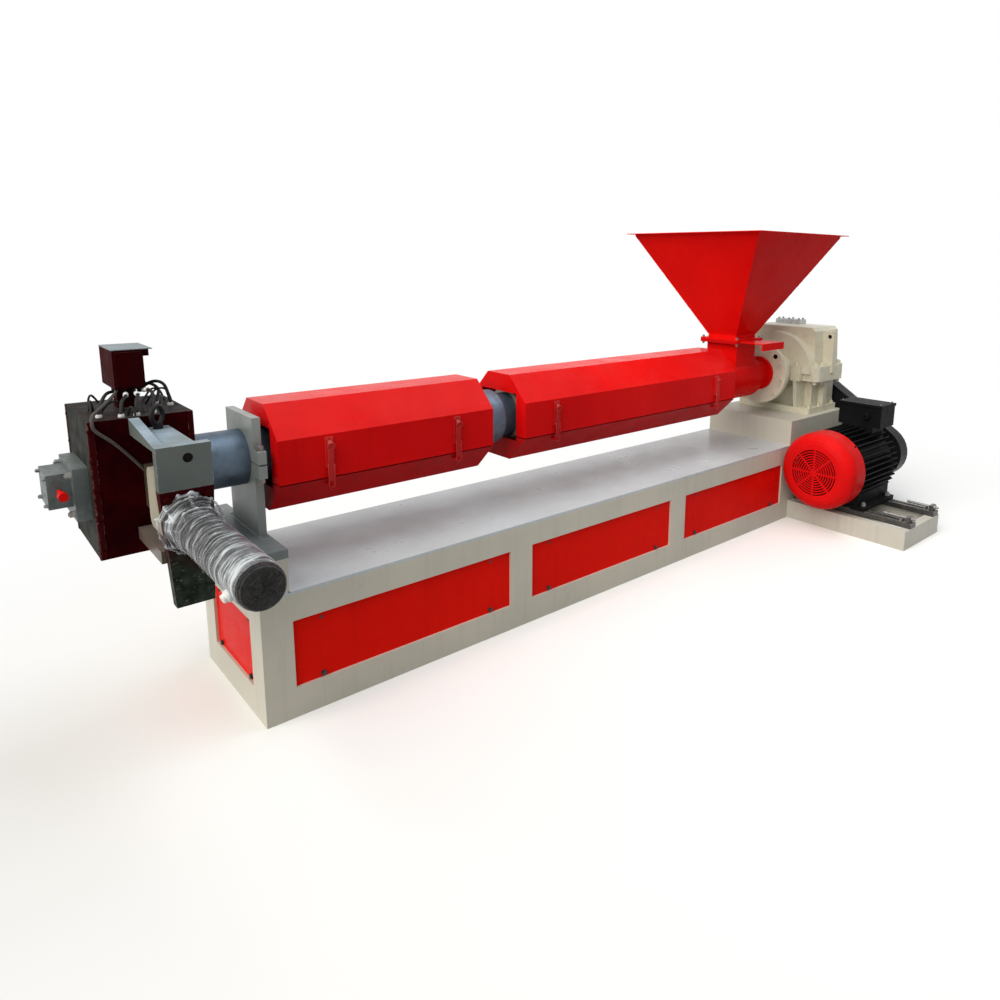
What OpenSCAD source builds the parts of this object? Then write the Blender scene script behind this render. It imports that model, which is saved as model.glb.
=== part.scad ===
// Plastic pelletizing machine: a single-screw extruder on a long steel bed, with two hinged
// heater covers, a feed hopper with a slide gate, a gearbox, a belt-driven motor and a screen
// changer with its hydraulic cylinder at the die end.
// X runs along the screw from the die end to the drive end, Y away from the operator, Z up.
// The origin is on the floor, under the screw, in the middle of the bed's head end member.

/* [Bed] */
// Margin of the bed behind the gearbox
drive_margin = 25; // [20:1:60]
// Width of the bed
bed_w = 600; // [560:10:700]
// Height of the bed top above the floor
bed_h = 460; // [420:10:560]
// Depth of the frame members, seen from above
frame_d = 50; // [40:1:70]
// Thickness of the bed's top plate
bed_top_t = 12; // [8:1:20]
// Plain margin at each end of a frame
end_margin = 106; // [90:1:130]
// Length of one side panel
panel_len = 928; // [800:1:950]
// Width of the post between two side panels
post_w = 117; // [90:1:130]
// Height of the panels
panel_h = 244; // [200:1:260]
// Height of the panels' lower edge above the floor
panel_z = 109; // [90:1:130]
// Thickness of the panel sheet
panel_t = 4; // [2:0.5:6]
// Depth of the panels behind the frame's face
panel_inset = 10; // [4:1:20]

/* [Pedestals] */
// Length of the head beam along the screw
head_beam_d = 100; // [90:1:140]
// Height of the head beam
head_beam_h = 120; // [90:1:160]
// Thickness of the plate on the head beam
head_plate_t = 30; // [15:1:40]
// Overhang of that plate past the head beam
head_plate_over = 4; // [2:1:20]
// Distance from the cooling jacket to the drive pedestal
pedestal_gap = 83; // [60:1:100]

/* [Barrel] */
// Height of the screw's axis above the pedestals
axis_rise = 258; // [250:1:300]
// Outer diameter of the barrel
barrel_d = 196; // [170:1:205]
// Diameter of the flanges that join the barrel's two lengths
barrel_flange_d = 240; // [225:1:300]
// Thickness of one barrel flange
barrel_flange_t = 36; // [24:1:44]
// Distance from the bed's head end to the barrel's nose
nose_len = 119; // [100:1:140]

/* [Barrel support] */
// Distance from the bed's head end to the support
support_x = 72; // [60:1:78]
// Thickness of the support
support_t = 28; // [24:1:46]
// Width of the support
support_w = 256; // [250:1:320]
// Height of the cap above the screw's axis
cap_rise = 156; // [135:1:180]
// Gap of the clamp between cap and saddle
split_gap = 6; // [3:1:10]
// Reach of the clamp ears past the support
ear_w = 42; // [34:1:60]
// Height of one clamp ear
ear_h = 44; // [30:1:60]
// Clearance between clamp and barrel
clamp_fit = 0.2; // [0.1:0.1:0.5]

/* [Heater covers] */
// Width of the octagonal covers across their flats
cover_flat = 380; // [370:1:400]
// Thickness of the cover sheet
sheet_t = 4; // [3:0.5:6]
// Distance from the bed's head end to the front cover
front_cover_x = 130; // [124:1:140]
// Length of the front cover
front_cover_len = 897; // [860:1:910]
// Gap between the two covers
cover_gap = 172; // [160:1:190]
// Length of the rear cover
rear_cover_len = 1548; // [1500:1:1560]
// Gap between a hood and its tray
hood_gap = 5; // [5:0.5:8]
// Room between the barrel and the hoods' end plates
notch_room = 28; // [24:1:32]
// Radius of the hinge pins
hinge_pin_r = 5; // [4:0.5:6]
// Radius of the hinge knuckles
knuckle_r = 9; // [8:0.5:10]
// Length of one hinge knuckle
knuckle_len = 34; // [24:1:50]
// Running clearance of the hinges
hinge_fit = 0.3; // [0.2:0.05:0.5]
// Distance of the hinge axis from the covers' side
hinge_out = 17; // [16:0.5:20]
// Width of a latch's plate
latch_w = 30; // [22:1:40]
// Thickness of a latch's plate
latch_plate_t = 5; // [3:0.5:6]
// Width of a latch's lever
latch_arm_w = 16; // [12:1:20]
// Thickness of a latch's lever
latch_arm_t = 12; // [8:1:14]
// Reach of a latch's lever past the hood's edge
latch_tip = 10; // [6:1:12]
// Distance from a tray's edge to the latch keepers
keeper_drop = 18; // [16:1:24]
// Thickness of a latch keeper
keeper_t = 8; // [5:1:10]
// Distance of a latch from its cover's end
latch_inset = 180; // [140:1:260]
// Outer diameter of the heater bands
heater_d = 236; // [225:1:250]
// Length of one heater band
heater_len = 150; // [120:1:160]

/* [Feed throat] */
// Distance from the rear cover to the feed throat
throat_gap = 40; // [30:1:60]
// Diameter of the throat's cooling jacket
jacket_d = 262; // [240:1:280]
// Length of the cooling jacket
jacket_len = 330; // [310:1:350]
// Distance from the front of the jacket to the middle of the throat
throat_set = 173; // [160:1:180]
// Length of the throat block along the screw
throat_len = 190; // [180:1:210]
// Width of the throat block
throat_w = 210; // [190:1:230]
// Height of the throat block above the screw's axis
throat_rise = 218; // [205:1:240]
// Side of the square feed opening
feed_side = 150; // [120:1:160]
// Length of the neck between jacket and gearbox
neck_len = 158; // [140:1:170]
// Diameter of the neck
neck_d = 162; // [150:1:180]
// Diameter of the flange at the end of the neck
neck_flange_d = 210; // [190:1:240]
// Thickness of that flange
neck_flange_t = 22; // [16:1:30]

/* [Screw] */
// Outer diameter of the screw
screw_d = 118; // [100:1:125]
// Diameter of the screw's root
root_d = 72; // [60:1:80]
// Pitch of the screw's flight
screw_pitch = 112; // [90:1:130]
// Width of the flight at the root, across the screw
flight_w = 34; // [24:1:44]
// Clearance between the flight and the bore
screw_fit = 1; // [0.5:0.1:2]

/* [Slide gate] */
// Side of the square flanges at the gate
gate_flange = 260; // [250:1:280]
// Thickness of each flange
gate_flange_t = 10; // [8:1:16]
// Thickness of the gate plate
gate_t = 6; // [4:0.5:8]
// Running clearance above and below the gate plate
gate_fit = 0.5; // [0.3:0.1:1]
// Width of the gate plate
gate_w = 218; // [200:1:228]
// Running clearance at the gate plate's edges
gate_side_fit = 1; // [0.5:0.1:2]
// Distance of the gate's grip from the screw's axis
grip_y = 281; // [275:1:300]
// Height of the grip
grip_h = 40; // [30:1:50]
// Thickness of the grip
grip_t = 8; // [5:1:12]
// Travel of the gate
gate_travel = 138; // [120:1:138]

/* [Hopper] */
// Height of the hopper's straight neck
hopper_neck_h = 22; // [16:1:40]
// Height of the sloping part
hopper_rise = 580; // [520:5:640]
// Side of the square hopper mouth
hopper_mouth = 852; // [800:2:900]
// Side of the square hopper neck
hopper_neck = 196; // [190:1:220]
// Thickness of the hopper sheet
hopper_t = 4; // [3:0.5:6]
// Width of the rim round the mouth
rim_w = 30; // [20:1:40]

/* [Gearbox] */
// Length of the gearbox case along the screw
case_len = 290; // [280:1:320]
// Width of the gearbox case at the joint
case_w = 490; // [470:1:500]
// Draft of the upper case, on each side
case_draft = 16; // [8:1:24]
// Height of the upper case above the screw's axis
case_rise = 286; // [270:1:300]
// Chamfer on the upper case
case_chamfer = 22; // [10:1:40]
// Distance of the lower case behind the upper one's faces
lower_inset = 20; // [12:1:30]
// Reach of the foot past the lower case
foot_out = 35; // [25:1:50]
// Thickness of the foot
foot_t = 38; // [28:1:50]
// Diameter of the bearing arch in front of the upper case
arch_d = 504; // [490:1:510]
// Length of the bearing arch
arch_len = 70; // [60:1:80]
// Reach of the joint flanges past the case, to the front
joint_front = 50; // [30:1:60]
// Reach of the joint flanges past the case, to the sides
joint_side = 50; // [30:1:55]
// Corner radius of the joint flanges
joint_r = 40; // [20:1:45]
// Thickness of one joint flange
joint_t = 48; // [36:1:60]
// Clearance between the joint's front bosses and the output bearing
lug_fit = 3; // [1:1:8]
// Width of a front boss
lug_w = 64; // [50:1:70]
// Reach of a front boss
lug_out = 25; // [15:1:30]
// Thickness of the webs under the front bosses
web_t = 24; // [16:1:32]
// Distance from the case's front to its side ribs
rib_set = 104; // [90:1:120]
// Thickness of the side ribs
rib_t = 40; // [30:1:50]
// Reach of the upper ribs past the case
rib_out = 60; // [50:1:70]
// Diameter of the lifting holes in the upper ribs
lift_hole_d = 28; // [20:1:34]
// Distance of the lifting holes below the top
lift_drop = 57; // [45:1:70]
// Diameter of the output flange
output_d = 384; // [360:1:400]
// Thickness of the output flange
output_t = 30; // [24:1:60]
// Diameter of the bearing boss behind the output flange
boss_d = 260; // [240:1:280]
// Length of that bearing boss
boss_len = 150; // [120:1:160]
// Distance from the case's front to the inspection cap
cap_set = 190; // [170:1:195]
// Length of the inspection cap along the screw
cap_len = 80; // [60:1:84]
// Width of the inspection cap
cap_w = 180; // [150:1:220]
// Distance of the inspection cap from over the screw
cap_y = 80; // [60:1:100]
// Thickness of the inspection cap
cap_t = 30; // [20:1:40]
// Distance of the input shaft from the screw's axis
input_y = 150; // [140:1:155]
// Diameter of the input bearing cap
input_cap_d = 150; // [130:1:155]

/* [Motor] */
// Height of the motor's shaft above its feet
motor_h = 225; // [225:1:240]
// Room between the fan cowl and the bed
motor_room = 8; // [6:1:20]
// Distance from the bed's drive end to the fan cowl's front
motor_back = 774; // [765:1:785]
// Diameter of the fan cowl
cowl_d = 454; // [440:1:470]
// Length of the fan cowl
cowl_len = 170; // [150:1:190]
// Diameter of the cowl's flat front
cowl_face_d = 290; // [270:1:310]
// Length of the dome between the flat front and the cowl's side
cowl_dome = 74; // [50:1:90]
// Thickness of the cowl's sheet
cowl_t = 4; // [2:0.5:6]
// Number of slotted rings in the cowl's front
grille_rings = 9; // [3:1:12]
// Width of one grille slot
grille_slot = 7; // [4:1:9]
// Width of the spokes between the slots
grille_spoke = 9; // [6:1:18]
// Length of the finned motor frame
motor_len = 430; // [420:1:460]
// Diameter of the motor frame under the fins
motor_core_d = 366; // [350:1:380]
// Diameter over the fins
fin_d = 446; // [425:1:448]
// Thickness of a fin
fin_t = 7; // [5:1:9]
// Number of fins
fin_count = 40; // [24:1:48]
// Length of the drive end shield
shield_len = 105; // [95:1:108]
// Diameter of the drive end shield's outer end
shield_d = 250; // [220:1:290]
// Diameter of the motor's shaft
shaft_d = 60; // [50:1:65]
// Length of the motor's terminal box along the shaft
motor_box_len = 180; // [150:1:200]
// Width of the motor's terminal box
motor_box_w = 262; // [230:1:280]
// Height of the motor's terminal box
motor_box_h = 134; // [105:1:140]
// Distance of the motor's terminal box from over the shaft
motor_box_y = 30; // [10:1:40]
// Reach of the motor's terminal box past the finned frame
motor_box_over = 30; // [10:1:40]
// Distance between the motor's feet, across
foot_gauge = 356; // [340:1:370]
// Distance between the motor's feet, along the shaft
foot_pitch = 311; // [300:1:320]
// Distance from the motor's drive end to its nearer feet
foot_setback = 149; // [145:1:160]
// Width of one motor foot
foot_w = 80; // [66:1:90]
// Thickness of a motor foot
motor_foot_t = 24; // [16:1:30]
// Thickness of the wall that joins a foot to the frame
leg_t = 30; // [20:1:36]
// Distance of that wall's top below the shaft
leg_drop = 60; // [50:1:80]

/* [Motor base] */
// Distance from the bed's drive end to the motor base's front
base_back = 625; // [610:1:635]
// Length of the motor base along the screw
base_len = 455; // [450:1:480]
// Reach of the motor base from the bed
base_reach = 720; // [700:5:760]
// Height of the motor base
base_h = 110; // [100:1:130]
// Width of the base's beams
beam_w = 50; // [40:1:60]
// Height of the slide rails
rail_h = 30; // [24:1:40]
// Width of one slide rail
rail_w = 64; // [54:1:70]
// Width of the slot in a slide rail
slot_w = 20; // [14:1:24]

/* [Belt guard] */
// Radius of the belt guard round the gearbox's shaft
guard_top_r = 106; // [90:1:140]
// Radius of the belt guard round the motor's shaft
guard_low_r = 166; // [150:1:200]
// Depth of the belt guard
guard_d = 112; // [90:1:150]
// Depth of the rounded edge on the belt guard
guard_round = 16; // [8:1:24]

/* [Die head] */
// Length of the die box along the screw
die_len = 280; // [260:1:300]
// Width of the die box
die_w = 358; // [330:1:380]
// Height of the die box
die_h = 416; // [390:1:440]
// Height of the die box's top above the screw's axis
die_rise = 216; // [205:1:230]
// Length of the outlet block
outlet_len = 40; // [30:1:60]
// Width of the outlet block
outlet_w = 230; // [200:1:250]
// Height of the outlet block
outlet_h = 160; // [150:1:180]
// Distance of the outlet block's middle below the screw's axis
outlet_drop = 10; // [0:1:20]
// Length of the strand die in front of the outlet block
strand_len = 60; // [40:1:80]
// Width of the strand die
strand_w = 140; // [120:1:180]
// Height of the strand die
strand_h = 104; // [90:1:120]
// Diameter of a strand hole
strand_hole_d = 8; // [5:1:10]
// Distance between strand holes
strand_pitch = 20; // [16:1:22]
// Depth of a strand hole
strand_hole_l = 30; // [20:1:36]
// Length of the die's handle
handle_len = 60; // [45:1:80]
// Radius of the die's handle
handle_r = 13; // [10:1:18]

/* [Screen changer] */
// Width of the changer's end plates along the screw
bar_w = 140; // [120:1:150]
// Distance from the die box's right side to the end plates
bar_inset = 37; // [25:1:60]
// Height of the upper end plate
bar_h = 124; // [110:1:150]
// Thickness of the upper end plate
bar_end_t = 33; // [24:1:40]
// Height of the top bar's upper face above the screw's axis
bar_rise = 180; // [170:1:190]
// Width of the top bar between end plate and die box
bar_top_w = 105; // [95:1:115]
// Thickness of the top bar
bar_t = 14; // [10:1:20]
// Width of the cheek on the top bar
cheek_w = 28; // [20:1:32]
// Rise of the cheek from the end plate to the die box
cheek_rise = 34; // [20:1:36]
// Reach of the bars from the die box
bar_reach = 289; // [270:1:310]
// Height of the slide housing's top above the screw's axis
slide_top = 96; // [85:1:110]
// Height of the slide housing
slide_h = 178; // [160:1:185]
// Distance of the slide housing behind the end plates' left edge
slide_inset = 12; // [4:1:18]
// Length of the slide housing from the cylinder plate
slide_len = 142; // [120:1:170]
// Corner radius of the slide housing
slide_r = 30; // [16:1:40]
// Width of the screen slide between housing and die box
screen_w = 84; // [70:1:100]
// Height of the screen slide
screen_h = 130; // [110:1:150]
// Thickness of the low bar
low_bar_t = 36; // [28:1:40]
// Distance of the low bar's top below the screw's axis
low_bar_drop = 120; // [112:1:130]
// Height of the cylinder plate below the upper end plate
plate_h = 336; // [320:1:350]
// Thickness of the cylinder plate
plate_t = 36; // [34:1:44]
// Taper of the cylinder plate towards its lower edge
plate_taper = 20; // [10:1:30]
// Outer diameter of the cylinder
cylinder_d = 112; // [96:1:120]
// Length of the cylinder
cylinder_len = 500; // [460:1:540]
// Height of the cylinder's axis below the screw's axis
cylinder_drop = 40; // [30:1:60]
// Diameter of the flange that holds the cylinder on its plate
cylinder_flange_d = 136; // [124:1:140]
// Thickness of that flange
cylinder_flange_t = 26; // [18:1:34]
// Diameter of the cylinder's end cap
end_cap_d = 104; // [96:1:120]
// Length of the cylinder's end cap
end_cap_len = 46; // [36:1:60]
// Outer diameter of the lifting eye
eye_d = 68; // [60:1:80]
// Thickness of the lifting eye's ring
eye_t = 14; // [10:1:16]
// Distance of the lifting eye from the die box
eye_gap = 31; // [30:1:44]
// Turn of the lifting eye about its own axis
eye_turn = 45; // [0:5:90]

/* [Terminal box] */
// Length of the terminal box along the screw
tbox_len = 84; // [75:1:100]
// Width of the terminal box
tbox_w = 180; // [160:1:200]
// Height of the terminal box
tbox_h = 118; // [105:1:130]
// Distance of the terminal box's middle from the screw, away from the operator
tbox_y = 25; // [10:1:40]
// Height of the post under the terminal box
tbox_post_h = 68; // [55:1:80]
// Width of that post
tbox_post_w = 54; // [40:1:60]
// Length of the terminal box's side tab
tab_len = 26; // [18:1:34]
// Radius of a heater lead
lead_r = 5; // [4:0.5:7]

/* [Hidden] */
$fn = 64;
cut = 1;

// Places along the screw
bed_x0 = -frame_d / 2;
x_support = bed_x0 + support_x;
x_front = bed_x0 + front_cover_x;
x_rear = x_front + front_cover_len + cover_gap;
x_jacket = x_rear + rear_cover_len + throat_gap;
x_throat = x_jacket + throat_set;
x_neck = x_jacket + jacket_len;
x_pedestal = x_neck + pedestal_gap;
x_output = x_neck + neck_len;
x_arch = x_output + output_t + boss_len;
x_case = x_arch + arch_len;
x_case1 = x_case + case_len;
bed_x1 = x_case1 + drive_margin;
x_cowl = bed_x1 - motor_back;
x_motor = x_cowl + cowl_len;
x_shield = x_motor + motor_len;
x_shaft = x_shield + shield_len;
x_base = bed_x1 - base_back;
x_nose = bed_x0 - nose_len;
x_die = x_nose - die_len;
x_die_mid = x_die + die_len / 2;
x_outlet = x_die - outlet_len;
x_strand = x_outlet - strand_len;
x_bar = x_nose - bar_inset - bar_w;
x_bar_mid = x_bar + bar_w / 2;
// Heights
frame_h = bed_h - bed_top_t;
pad_z = bed_h + head_beam_h + head_plate_t;
axis_z = pad_z + axis_rise;
z_rail = base_h + rail_h;
z_motor = z_rail + motor_h;
z_die = axis_z + die_rise - die_h;
z_die_top = axis_z + die_rise;
z_bar = axis_z + bar_rise;
z_plate = z_bar - bar_h;
z_gate = axis_z + throat_rise;
z_hopper = z_gate + 2 * gate_flange_t + gate_t + 2 * gate_fit;
// Places across the screw
y_side = bed_w / 2;
motor_y = y_side + motor_room + cowl_d / 2;
y_die = -die_w / 2;
y_bar = y_die - bar_reach;
// Octagonal covers
oct_r = cover_flat / 2;
oct_half_side = oct_r * tan(22.5);
split_z = -oct_half_side;
notch_half = barrel_d / 2 + notch_room;
hinge_y = oct_r + hinge_out;
tray_top = split_z - hood_gap / 2;
hood_bottom = split_z + hood_gap / 2;
inner_w = bed_w - 2 * frame_d;

cream = [0.87, 0.83, 0.72];
red = [0.85, 0.05, 0.04];
dark_red = [0.30, 0.03, 0.04];
steel = [0.55, 0.58, 0.60];
dark_grey = [0.25, 0.26, 0.27];
black = [0.06, 0.06, 0.07];

// Round bar along X from x0 to x1 on an axis at height z
module rod(x0, x1, d, y = 0, z = axis_z) {
  translate([x0, y, z]) rotate([0, 90, 0]) cylinder(d = d, h = x1 - x0);
}

// Outline in Y and Z, drawn out along X
module along_x(x, len) {
  translate([x, 0, 0]) rotate([90, 0, 90]) linear_extrude(len) children();
}

// Block from its low corner, given as three ranges
module block(x, y, z) {
  translate([x[0], y[0], z[0]]) cube([x[1] - x[0], y[1] - y[0], z[1] - z[0]]);
}

function panel_x(i) = bed_x0 + end_margin + i * (panel_len + post_w);
panel_range = [panel_z, panel_z + panel_h];

// Side of the bed: one frame with three panel openings
module side_frame(y0) {
  difference() {
    block([bed_x0, bed_x1], [y0, y0 + frame_d], [0, frame_h]);
    for (i = [0:2])
      block([panel_x(i), panel_x(i) + panel_len], [y0 - cut, y0 + frame_d + cut], panel_range);
  }
}

// End of the bed, between the two sides
module end_frame(x0) {
  difference() {
    block([x0, x0 + frame_d], [-inner_w / 2, inner_w / 2], [0, frame_h]);
    block([x0 - cut, x0 + frame_d + cut], [end_margin - y_side, y_side - end_margin], panel_range);
  }
}

module side_panels(y0) {
  for (i = [0:2]) block([panel_x(i), panel_x(i) + panel_len], [y0, y0 + panel_t], panel_range);
}

module end_sheet(x0) {
  block([x0, x0 + panel_t], [end_margin - y_side, y_side - end_margin], panel_range);
}

module bed_near_frame() color(cream) side_frame(-y_side);
module bed_far_frame() color(cream) side_frame(y_side - frame_d);
module bed_head_frame() color(cream) end_frame(bed_x0);
module bed_drive_frame() color(cream) end_frame(bed_x1 - frame_d);
module bed_top() color(cream) block([bed_x0, bed_x1], [-y_side, y_side], [frame_h, bed_h]);
module near_panels() color(red) side_panels(-y_side + panel_inset);
module far_panels() color(red) side_panels(y_side - panel_inset - panel_t);
module head_panel() color(red) end_sheet(bed_x0 + panel_inset);
module drive_panel() color(red) end_sheet(bed_x1 - panel_inset - panel_t);

module head_beam() color(cream)
  block([bed_x0, bed_x0 + head_beam_d], [-y_side, y_side], [bed_h, bed_h + head_beam_h]);

module head_plate() color(dark_grey)
  block([bed_x0 - head_plate_over, bed_x0 + head_beam_d + head_plate_over],
        [-y_side, y_side], [pad_z - head_plate_t, pad_z]);

module drive_pedestal() color(cream)
  block([x_pedestal, bed_x1], [-y_side, y_side], [bed_h, pad_z]);

// Half of the barrel clamp: a plate with ears, from the split to its far edge
module clamp_half(z_edge, sign) {
  split = axis_z + sign * split_gap / 2;
  ear = split + sign * ear_h;
  difference() {
    union() {
      block([x_support, x_support + support_t], [-support_w / 2, support_w / 2],
            [min(split, z_edge), max(split, z_edge)]);
      block([x_support, x_support + support_t], [-support_w / 2 - ear_w, support_w / 2 + ear_w],
            [min(split, ear), max(split, ear)]);
    }
    rod(x_support - cut, x_support + support_t + cut, barrel_d + 2 * clamp_fit);
  }
}

module barrel_saddle() color(dark_grey) clamp_half(pad_z, -1);
module barrel_cap() color(steel) clamp_half(axis_z + cap_rise, 1);

x_joint = x_front + front_cover_len + cover_gap / 2;

module barrel() color(steel) {
  rod(x_nose, x_jacket, barrel_d);
  rod(x_joint - barrel_flange_t, x_joint + barrel_flange_t, barrel_flange_d);
}

// Row of heater bands under one cover
module heater_row(x0, len) {
  count = floor((len - heater_len / 2) / (heater_len * 1.25));
  pitch = len / count;
  for (i = [0:count - 1])
    difference() {
      rod(x0 + (i + 0.5) * pitch - heater_len / 2, x0 + (i + 0.5) * pitch + heater_len / 2, heater_d);
      rod(x0 - cut, x0 + len + cut, barrel_d);
    }
}

module heater_bands() color(steel) {
  heater_row(x_front, front_cover_len);
  heater_row(x_rear, rear_cover_len);
}

// Octagon with flat sides up, down and to the sides
module octagon(r) {
  rotate(22.5) circle(r = r / cos(22.5), $fn = 8);
}

// Part of the octagon between two heights
module octagon_slice(r, z0, z1) {
  intersection() {
    octagon(r);
    translate([-cover_flat, z0]) square([2 * cover_flat, z1 - z0]);
  }
}

// Folded sheet of a cover between two heights, with notched end plates
module cover_shell(x0, len, z0, z1, notch0, notch1) {
  translate([0, 0, axis_z]) {
    along_x(x0, len) difference() {
      octagon_slice(oct_r, z0, z1);
      octagon(oct_r - sheet_t);
    }
    for (x = [x0, x0 + len - sheet_t])
      along_x(x, sheet_t) difference() {
        octagon_slice(oct_r, z0, z1);
        translate([-notch_half, notch0]) square([2 * notch_half, notch1 - notch0]);
      }
  }
}

function hinge_at(x0, len) = [x0 + latch_inset, x0 + len - latch_inset];

// Lower sheet of a cover, with its hinge knuckles and pins on the far side and latch keepers on the near one
module tray(x0, len) {
  difference() {
    union() {
      cover_shell(x0, len, -oct_r, tray_top, -barrel_d / 2 - clamp_fit, 0);
      for (x = hinge_at(x0, len)) {
        translate([x, hinge_y, axis_z + split_z]) tray_knuckles();
        translate([x, -oct_r, axis_z + tray_top - keeper_drop]) keeper();
      }
    }
    translate([0, 0, axis_z]) along_x(x0 + sheet_t, len - 2 * sheet_t) octagon(oct_r - sheet_t);
  }
}

// Pair of knuckles with their pin, with room for the hood's knuckle between them
module tray_knuckles() {
  for (s = [-1, 1])
    translate([s * (knuckle_len + hinge_fit), 0, 0]) {
      rod(-knuckle_len / 2, knuckle_len / 2, 2 * knuckle_r, 0, 0);
      block([-knuckle_len / 2, knuckle_len / 2], [-hinge_out - knuckle_r, 0], [-2 * knuckle_r, -hood_gap]);
    }
  rod(-1.5 * knuckle_len, 1.5 * knuckle_len, 2 * hinge_pin_r, 0, 0);
}

// Hooked lip that a latch's wire catches
module keeper() {
  block([-latch_arm_w / 2, latch_arm_w / 2],
        [-latch_plate_t, keeper_drop + keeper_t + sheet_t], [-keeper_t, 0]);
}

// Upper sheet of a cover, with the hinge knuckles that turn on the tray's pins
module hood(x0, len) {
  cover_shell(x0, len, hood_bottom, oct_r, split_z, barrel_d / 2 + notch_room / 2);
  for (x = hinge_at(x0, len)) translate([0, hinge_y, axis_z + split_z])
    difference() {
      union() {
        rod(x - knuckle_len / 2, x + knuckle_len / 2, 2 * knuckle_r, 0, 0);
        block([x - knuckle_len / 2, x + knuckle_len / 2], [-hinge_out, 0], [hood_gap, 2 * knuckle_r]);
      }
      rod(x - knuckle_len, x + knuckle_len, 2 * (hinge_pin_r + hinge_fit), 0, 0);
    }
}

// Toggle latches on the near side of a hood: a riveted plate and a lever that tapers to its tip
module latches(x0, len) {
  lever_top = oct_half_side - 2 * latch_tip;
  for (x = hinge_at(x0, len)) translate([x, -oct_r, axis_z]) {
    block([-latch_w / 2, latch_w / 2], [-latch_plate_t, 0], [split_z / 2, oct_half_side - latch_tip]);
    along_x(-latch_arm_w / 2, latch_arm_w)
      translate([-latch_plate_t, 0]) polygon([
        [0, lever_top], [-latch_arm_t, lever_top - latch_arm_t], [-latch_arm_t, 0],
        [-latch_arm_t / 2, split_z - latch_tip], [0, split_z - latch_tip]
      ]);
  }
}

module front_tray() color(dark_red) tray(x_front, front_cover_len);
module front_hood() color(red) hood(x_front, front_cover_len);
module front_latches() color(steel) latches(x_front, front_cover_len);
module rear_tray() color(dark_red) tray(x_rear, rear_cover_len);
module rear_hood() color(red) hood(x_rear, rear_cover_len);
module rear_latches() color(steel) latches(x_rear, rear_cover_len);

// Water-cooled feed throat: a bored jacket with a square block on top and a neck with a flange
module feed_throat() color(red) difference() {
  union() {
    rod(x_jacket, x_neck, jacket_d);
    rod(x_neck, x_output, neck_d);
    rod(x_output - neck_flange_t, x_output, neck_flange_d);
    block([x_throat - throat_len / 2, x_throat + throat_len / 2],
          [-throat_w / 2, throat_w / 2], [axis_z, z_gate]);
  }
  rod(x_jacket - cut, x_output + cut, screw_d + 2 * screw_fit);
  block([x_throat - feed_side / 2, x_throat + feed_side / 2],
        [-feed_side / 2, feed_side / 2], [axis_z, z_gate + cut]);
}

// Screw where the feed opening shows it: a root with one helical flight
module feed_screw() color(steel) {
  len = x_output - x_jacket;
  rod(x_jacket, x_output, root_d, $fn = 24);
  translate([x_jacket, 0, axis_z]) rotate([0, 90, 0])
    linear_extrude(len, twist = -360 * len / screw_pitch, slices = ceil(12 * len / screw_pitch))
      intersection() {
        circle(d = screw_d);
        translate([0, -flight_w / 2]) square([screw_d, flight_w]);
      }
}

// Square flange with the feed opening
module feed_flange(z) {
  difference() {
    block([x_throat - gate_flange / 2, x_throat + gate_flange / 2],
          [-gate_flange / 2, gate_flange / 2], [z, z + gate_flange_t]);
    block([x_throat - feed_side / 2, x_throat + feed_side / 2],
          [-feed_side / 2, feed_side / 2], [z - cut, z + gate_flange_t + cut]);
  }
}

// Lower flange with the two guides that the gate runs between
module gate_frame() color(dark_red) {
  feed_flange(z_gate);
  for (s = [-1, 1])
    translate([x_throat, 0, 0]) mirror([s < 0 ? 1 : 0, 0, 0])
      block([gate_w / 2 + gate_side_fit, gate_flange / 2], [-gate_flange / 2, gate_flange / 2],
            [z_gate + gate_flange_t, z_gate + gate_flange_t + gate_t + 2 * gate_fit]);
}

z_gate_plate = z_gate + gate_flange_t + gate_fit;

// Slide gate, pulled out towards the operator
module gate_plate() color(red) {
  block([x_throat - gate_w / 2, x_throat + gate_w / 2],
        [-grip_y, feed_side / 2 - gate_travel], [z_gate_plate, z_gate_plate + gate_t]);
  block([x_throat - gate_w / 2, x_throat + gate_w / 2],
        [-grip_y - grip_t, -grip_y], [z_gate_plate + gate_t - grip_h, z_gate_plate + gate_t]);
}

// Square pyramid between two heights, measured over its sides
module funnel(side0, z0, side1, z1) {
  translate([x_throat, 0, z0]) linear_extrude(z1 - z0, scale = side1 / side0) square(side0, center = true);
}

// Hopper: flange, straight neck, sloping sides and a rim
module hopper() color(red) {
  z_slope = z_hopper + hopper_neck_h;
  z_rim = z_slope + hopper_rise;
  feed_flange(z_hopper - gate_flange_t);
  difference() {
    union() {
      funnel(hopper_neck, z_hopper, hopper_neck, z_slope);
      funnel(hopper_neck, z_slope, hopper_mouth, z_rim);
    }
    funnel(hopper_neck - 2 * hopper_t, z_hopper - cut, hopper_neck - 2 * hopper_t, z_slope);
    funnel(hopper_neck - 2 * hopper_t, z_slope, hopper_mouth - 2 * hopper_t, z_rim);
    funnel(hopper_mouth - 2 * hopper_t, z_rim, hopper_mouth - 2 * hopper_t, z_rim + cut);
  }
  difference() {
    funnel(hopper_mouth + 2 * rim_w, z_rim - hopper_t, hopper_mouth + 2 * rim_w, z_rim);
    funnel(hopper_mouth - 4 * hopper_t, z_rim - hopper_t - cut, hopper_mouth - 4 * hopper_t, z_rim + cut);
  }
}

// Plate with rounded corners, drawn in plan
module rounded_plan(x, y, r) {
  translate([x[0], y[0] + r]) square([x[1] - x[0], y[1] - y[0] - 2 * r]);
  translate([x[0] + r, y[0]]) square([x[1] - x[0] - 2 * r, y[1] - y[0]]);
  for (corner_x = [x[0] + r, x[1] - r], corner_y = [y[0] + r, y[1] - r])
    translate([corner_x, corner_y]) circle(r);
}

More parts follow.
